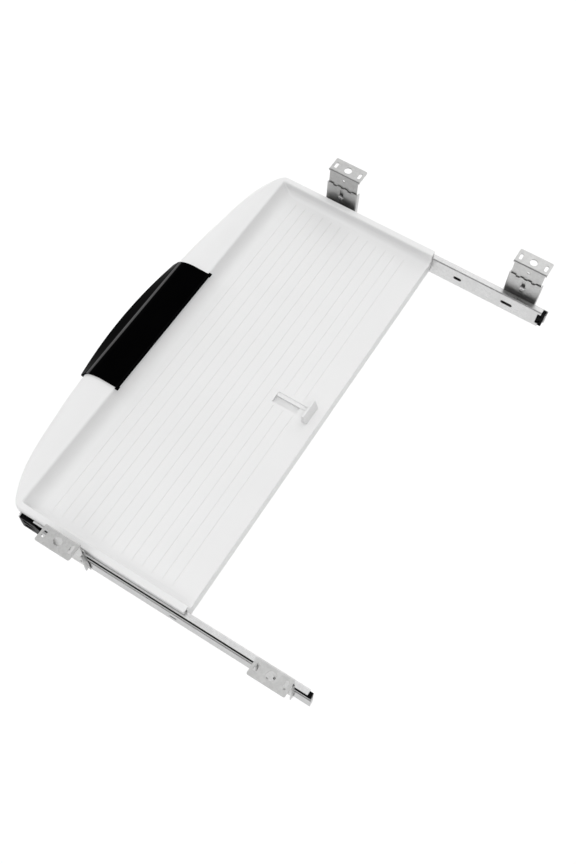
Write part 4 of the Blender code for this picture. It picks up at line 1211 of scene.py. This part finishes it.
def build_rivet(label, side, y):
    outer = GUIDE_IN + GUIDE_T + GAP
    inner = SLIDE_X + CABINET_U - CABINET_T - GAP
    radius, crown, rim, height = RIVET_INNER
    profile = domed(inner - rim, inner - height, radius, crown)[::-1]
    profile += [(inner, radius), (inner, RIVET_R), (outer, RIVET_R)]
    radius, crown, rim, height = RIVET_OUTER
    profile += [(outer, radius)] + domed(outer + rim, outer + height, radius, crown)
    rivet = lathe("rivet_head_" + label, profile, side, y, SLIDE_Z)
    finish(rivet, "rails", ["rivet_" + label], FASTENER)


def cross(a, b, reach, half):
    """Outline of a cross recess."""
    arm = [(reach, -half), (reach, half), (half, half)]
    points = []
    for _ in range(4):
        points += [(a + p, b + q) for p, q in arm]
        arm = [(-q, p) for p, q in arm]
    return points


def build_clamp_screw(label, side, y):
    face = GUIDE_IN - GAP
    end = PLATE_IN + PLATE_T + CLAMP_END
    radius, crown, rim, height = CLAMP_HEAD
    profile = domed(face - rim, face - height, radius, crown)[::-1]
    profile += [(face, radius), (face, CLAMP_R), (end, CLAMP_R)]
    profile.append((end + CLAMP_CHAMFER, CLAMP_R - CLAMP_CHAMFER))
    screw = lathe("screw_clamp_" + label, profile, side, y, CLAMP_Z)
    deep = span(side, face - height - SPARE, face - height + CROSS_DEPTH)
    boolean(screw, prism(cross(y, CLAMP_Z, CROSS_REACH, CROSS_HALF), "YZ", *deep))
    finish(screw, "desk_brackets", ["clamp_screw_" + label], FASTENER)


# ---- brackets


def corner_cutter(side, edge, sign, count=8):
    """Outside of a rounded outer corner of the flange."""
    radius = PLATE_CORNER
    x = PLATE_OUT - radius
    y = edge - sign * radius
    turns = quarter(count)
    arc = [(side * (x + radius * cosine), y + sign * radius * sine) for sine, cosine in turns]
    out_x = side * (PLATE_OUT + 0.5 * SPARE)
    out_y = edge + sign * 0.5 * SPARE
    return arc + [(side * x, out_y), (out_x, out_y), (out_x, y)]


def build_desk_plate(label, side, y):
    path = [(PLATE_OUT, 0.0), (PLATE_IN, 0.0), (PLATE_IN, LEG_BOTTOM)]
    outline = mirrored(strip(rounded_path(path, PLATE_BEND, 8), -PLATE_T), side)
    section = prism(outline, "XZ", y - PLATE_HALF, y + PLATE_HALF)
    plate = new_object("bracket_plate_" + label, section)
    down = (-PLATE_T - SPARE, SPARE)
    cut = bmesh.new()
    corners = bmesh.new()
    legs = span(side, PLATE_IN - SPARE, PLATE_IN + LEG_NOTCH)
    for sign in (1.0, -1.0):
        ys = sorted((y + sign * LEG_HALF, y + sign * (PLATE_HALF + SPARE)))
        add_box(cut, legs, ys, (LEG_BOTTOM - SPARE, -LEG_NOTCH))
        add_prism(corners, corner_cutter(side, y + sign * PLATE_HALF, sign), "XY", *down)
    boolean(plate, cut)
    boolean(plate, corners)
    holes = bmesh.new()
    add_prism(holes, circle(side * HOLE_X, y, HOLE_R, 40), "XY", *down)
    for dy in (-FIX_SLOT_Y, FIX_SLOT_Y):
        add_prism(holes, obround(side * HOLE_X, y + dy, FIX_SLOT_L, FIX_SLOT_W), "XY", *down)
    through = span(side, PLATE_IN - SPARE, PLATE_IN + PLATE_T + SPARE)
    drill(holes, y, LEG_HOLE_Z, LEG_HOLE_R, through)
    drill(holes, y, CLAMP_Z, CLAMP_HOLE_R, through, 24)
    boolean(plate, holes)
    round_edges(plate, PLATE_EDGE)
    finish(plate, "desk_brackets", ["desk_plate_" + label], ZINC_PLATE)


def build_guide(label, side, y):
    path = [(GUIDE_OUT, y - PLATE_HALF), (GUIDE_IN, y - PLATE_HALF), (GUIDE_IN, y + PLATE_HALF),
            (GUIDE_OUT, y + PLATE_HALF)]
    outline = mirrored(strip(rounded_path(path, BEND_R, 8), GUIDE_T), side)
    guide = new_object("bracket_guide_" + label, prism(outline, "XY", GUIDE_BOTTOM, GUIDE_TOP))
    cut = bmesh.new()
    reach = span(side, GUIDE_IN + GUIDE_T + RETURN_CLEAR, GUIDE_OUT + SPARE)
    ends = (y - PLATE_HALF - SPARE, y + PLATE_HALF + SPARE)
    above = GUIDE_TOP + SPARE
    add_box(cut, reach, ends, (RETURN_TOP, above))
    add_box(cut, reach, ends, (GUIDE_BOTTOM - SPARE, RETURN_BOTTOM))
    boolean(guide, cut)
    holes = bmesh.new()
    through = span(side, GUIDE_IN - SPARE, GUIDE_IN + GUIDE_T + SPARE)
    mid = 0.5 * (GUIDE_SLOT_TOP + GUIDE_SLOT_BOTTOM)
    slot = obround(y, mid, GUIDE_SLOT_TOP - GUIDE_SLOT_BOTTOM, GUIDE_SLOT_W, along_b=True)
    add_prism(holes, slot, "YZ", *through)
    for dy in (-RIVET_DY, RIVET_DY):
        drill(holes, y + dy, SLIDE_Z, RIVET_HOLE_R, through)
    wide, narrow = NOTCH_HALF
    for dy in (-NOTCH_Y, NOTCH_Y):
        low = GUIDE_TOP - NOTCH_DEPTH
        notch = [(-wide, above), (-narrow, low), (narrow, low), (wide, above)]
        notch = rounded_loop([(y + dy + a, b) for a, b in notch], [0.0, NOTCH_CORNER, NOTCH_CORNER, 0.0], 4)
        add_prism(holes, notch, "YZ", *through)
    dip = rectangle(y - DIP_HALF, y + DIP_HALF, GUIDE_TOP - DIP_DEPTH, above)
    add_prism(holes, dip, "YZ", *through)
    boolean(guide, holes)
    round_edges(guide, GUIDE_EDGE)
    finish(guide, "rails", ["guide_" + label], ZINC_PLATE)


# ---- stage


def build_floor():
    bm = bmesh.new()
    reach = (-STAGE_HALF, STAGE_HALF)
    add_box(bm, reach, reach, (STAGE_TOP - STAGE_T, STAGE_TOP))
    floor = new_object("floor", bm)
    mat = bpy.data.materials.new("floor_pale")
    mat.use_nodes = True
    shader = mat.node_tree.nodes["Principled BSDF"]
    shader.inputs["Base Color"].default_value = (1.0, 1.0, 1.0, 1.0)
    shader.inputs["Roughness"].default_value = 0.9
    shader.inputs["Specular IOR Level"].default_value = 0.0
    floor.data.materials.append(mat)


def direction(azimuth, elevation):
    """Unit vector; the azimuth runs from the front (-Y) towards +X."""
    level = math.cos(elevation)
    return Vector((math.sin(azimuth) * level, -math.cos(azimuth) * level, math.sin(elevation)))


def soft_sun(name, azimuth, elevation, strength, spread):
    """Broad soft light that isn't mirrored in gloss or metal."""
    data = bpy.data.lights.new(name, "SUN")
    data.energy = strength * math.pi
    data.angle = math.radians(spread)
    obj = bpy.data.objects.new(name, data)
    towards = direction(math.radians(azimuth), math.radians(elevation))
    obj.rotation_euler = towards.to_track_quat("Z", "Y").to_euler()
    obj.visible_glossy = False
    bpy.context.scene.collection.objects.link(obj)


def facing(tree, coords, towards, edge, core, low, high):
    """Level that runs from low to high as the view comes close to the given direction."""
    dot = tree.nodes.new("ShaderNodeVectorMath")
    dot.operation = "DOT_PRODUCT"
    dot.inputs[1].default_value = Vector(towards).normalized()
    tree.links.new(coords.outputs["Generated"], dot.inputs[0])
    ramp = tree.nodes.new("ShaderNodeMapRange")
    ramp.interpolation_type = "SMOOTHSTEP"
    for name, value in (("From Min", edge), ("From Max", core), ("To Min", low), ("To Max", high)):
        ramp.inputs[name].default_value = value
    tree.links.new(dot.outputs["Value"], ramp.inputs["Value"])
    return ramp.outputs["Result"]


def build_world():
    """Studio surround: one big soft panel, and small flags that keep the gloss black."""
    world = bpy.data.worlds.new("studio")
    world.use_nodes = True
    tree = world.node_tree
    back = tree.nodes["Background"]
    coords = tree.nodes.new("ShaderNodeTexCoord")
    level = facing(tree, coords, SKY_TOWARDS, SKY_EDGE, SKY_FULL, SKY_DARK, SKY_BRIGHT)
    for towards in FLAGS:
        flag = facing(tree, coords, towards, FLAG_EDGE, FLAG_CORE, 1.0, FLAG_SHADE)
        product = tree.nodes.new("ShaderNodeMath")
        product.operation = "MULTIPLY"
        tree.links.new(level, product.inputs[0])
        tree.links.new(flag, product.inputs[1])
        level = product.outputs[0]
    tree.links.new(level, back.inputs["Strength"])
    back.inputs["Color"].default_value = (1.0, 1.0, 1.0, 1.0)
    bpy.context.scene.world = world


def build_lights():
    build_world()
    soft_sun(*KEY)
    soft_sun(*FILL)


def build_camera():
    """Camera at the azimuth, elevation and roll of the product view."""
    azimuth, elevation, roll = (math.radians(a) for a in CAMERA_ANGLES)
    back = direction(azimuth, elevation)
    right = Vector((0.0, 0.0, 1.0)).cross(back).normalized()
    up = back.cross(right)
    x_axis = right * math.cos(roll) + up * math.sin(roll)
    y_axis = up * math.cos(roll) - right * math.sin(roll)
    data = bpy.data.cameras.new("camera")
    data.lens = CAMERA_LENS
    data.sensor_width = CAMERA_SENSOR
    data.clip_start = CAMERA_NEAR
    obj = bpy.data.objects.new("camera", data)
    rows = Matrix((x_axis, y_axis, back)).transposed().to_4x4()
    obj.matrix_world = Matrix.Translation(CAMERA_AT) @ rows
    bpy.context.scene.collection.objects.link(obj)
    bpy.context.scene.camera = obj


def build_object():
    build_tray()
    build_grip()
    build_stop()
    for side, label in ((1.0, "right"), (-1.0, "left")):
        build_drawer_member(side, label)
        build_cabinet_member(side, label)
        build_retainer(side, label)
        build_detent(side, label)
        build_bumper(side, label)
        for where, y in zip(("front", "middle", "rear"), SCREW_Y):
            build_tray_screw(side, label + "_" + where, y)
        for where, sign in (("front", -1.0), ("rear", 1.0)):
            corner = label + "_" + where
            y = sign * BRACKET_Y
            build_desk_plate(corner, side, y)
            build_guide(corner, side, y)
            build_clamp_screw(corner, side, y)
            build_rivet(corner + "_a", side, y - RIVET_DY)
            build_rivet(corner + "_b", side, y + RIVET_DY)


build_object()
build_floor()
build_lights()
build_camera()
bpy.context.scene.view_settings.view_transform = "Standard"
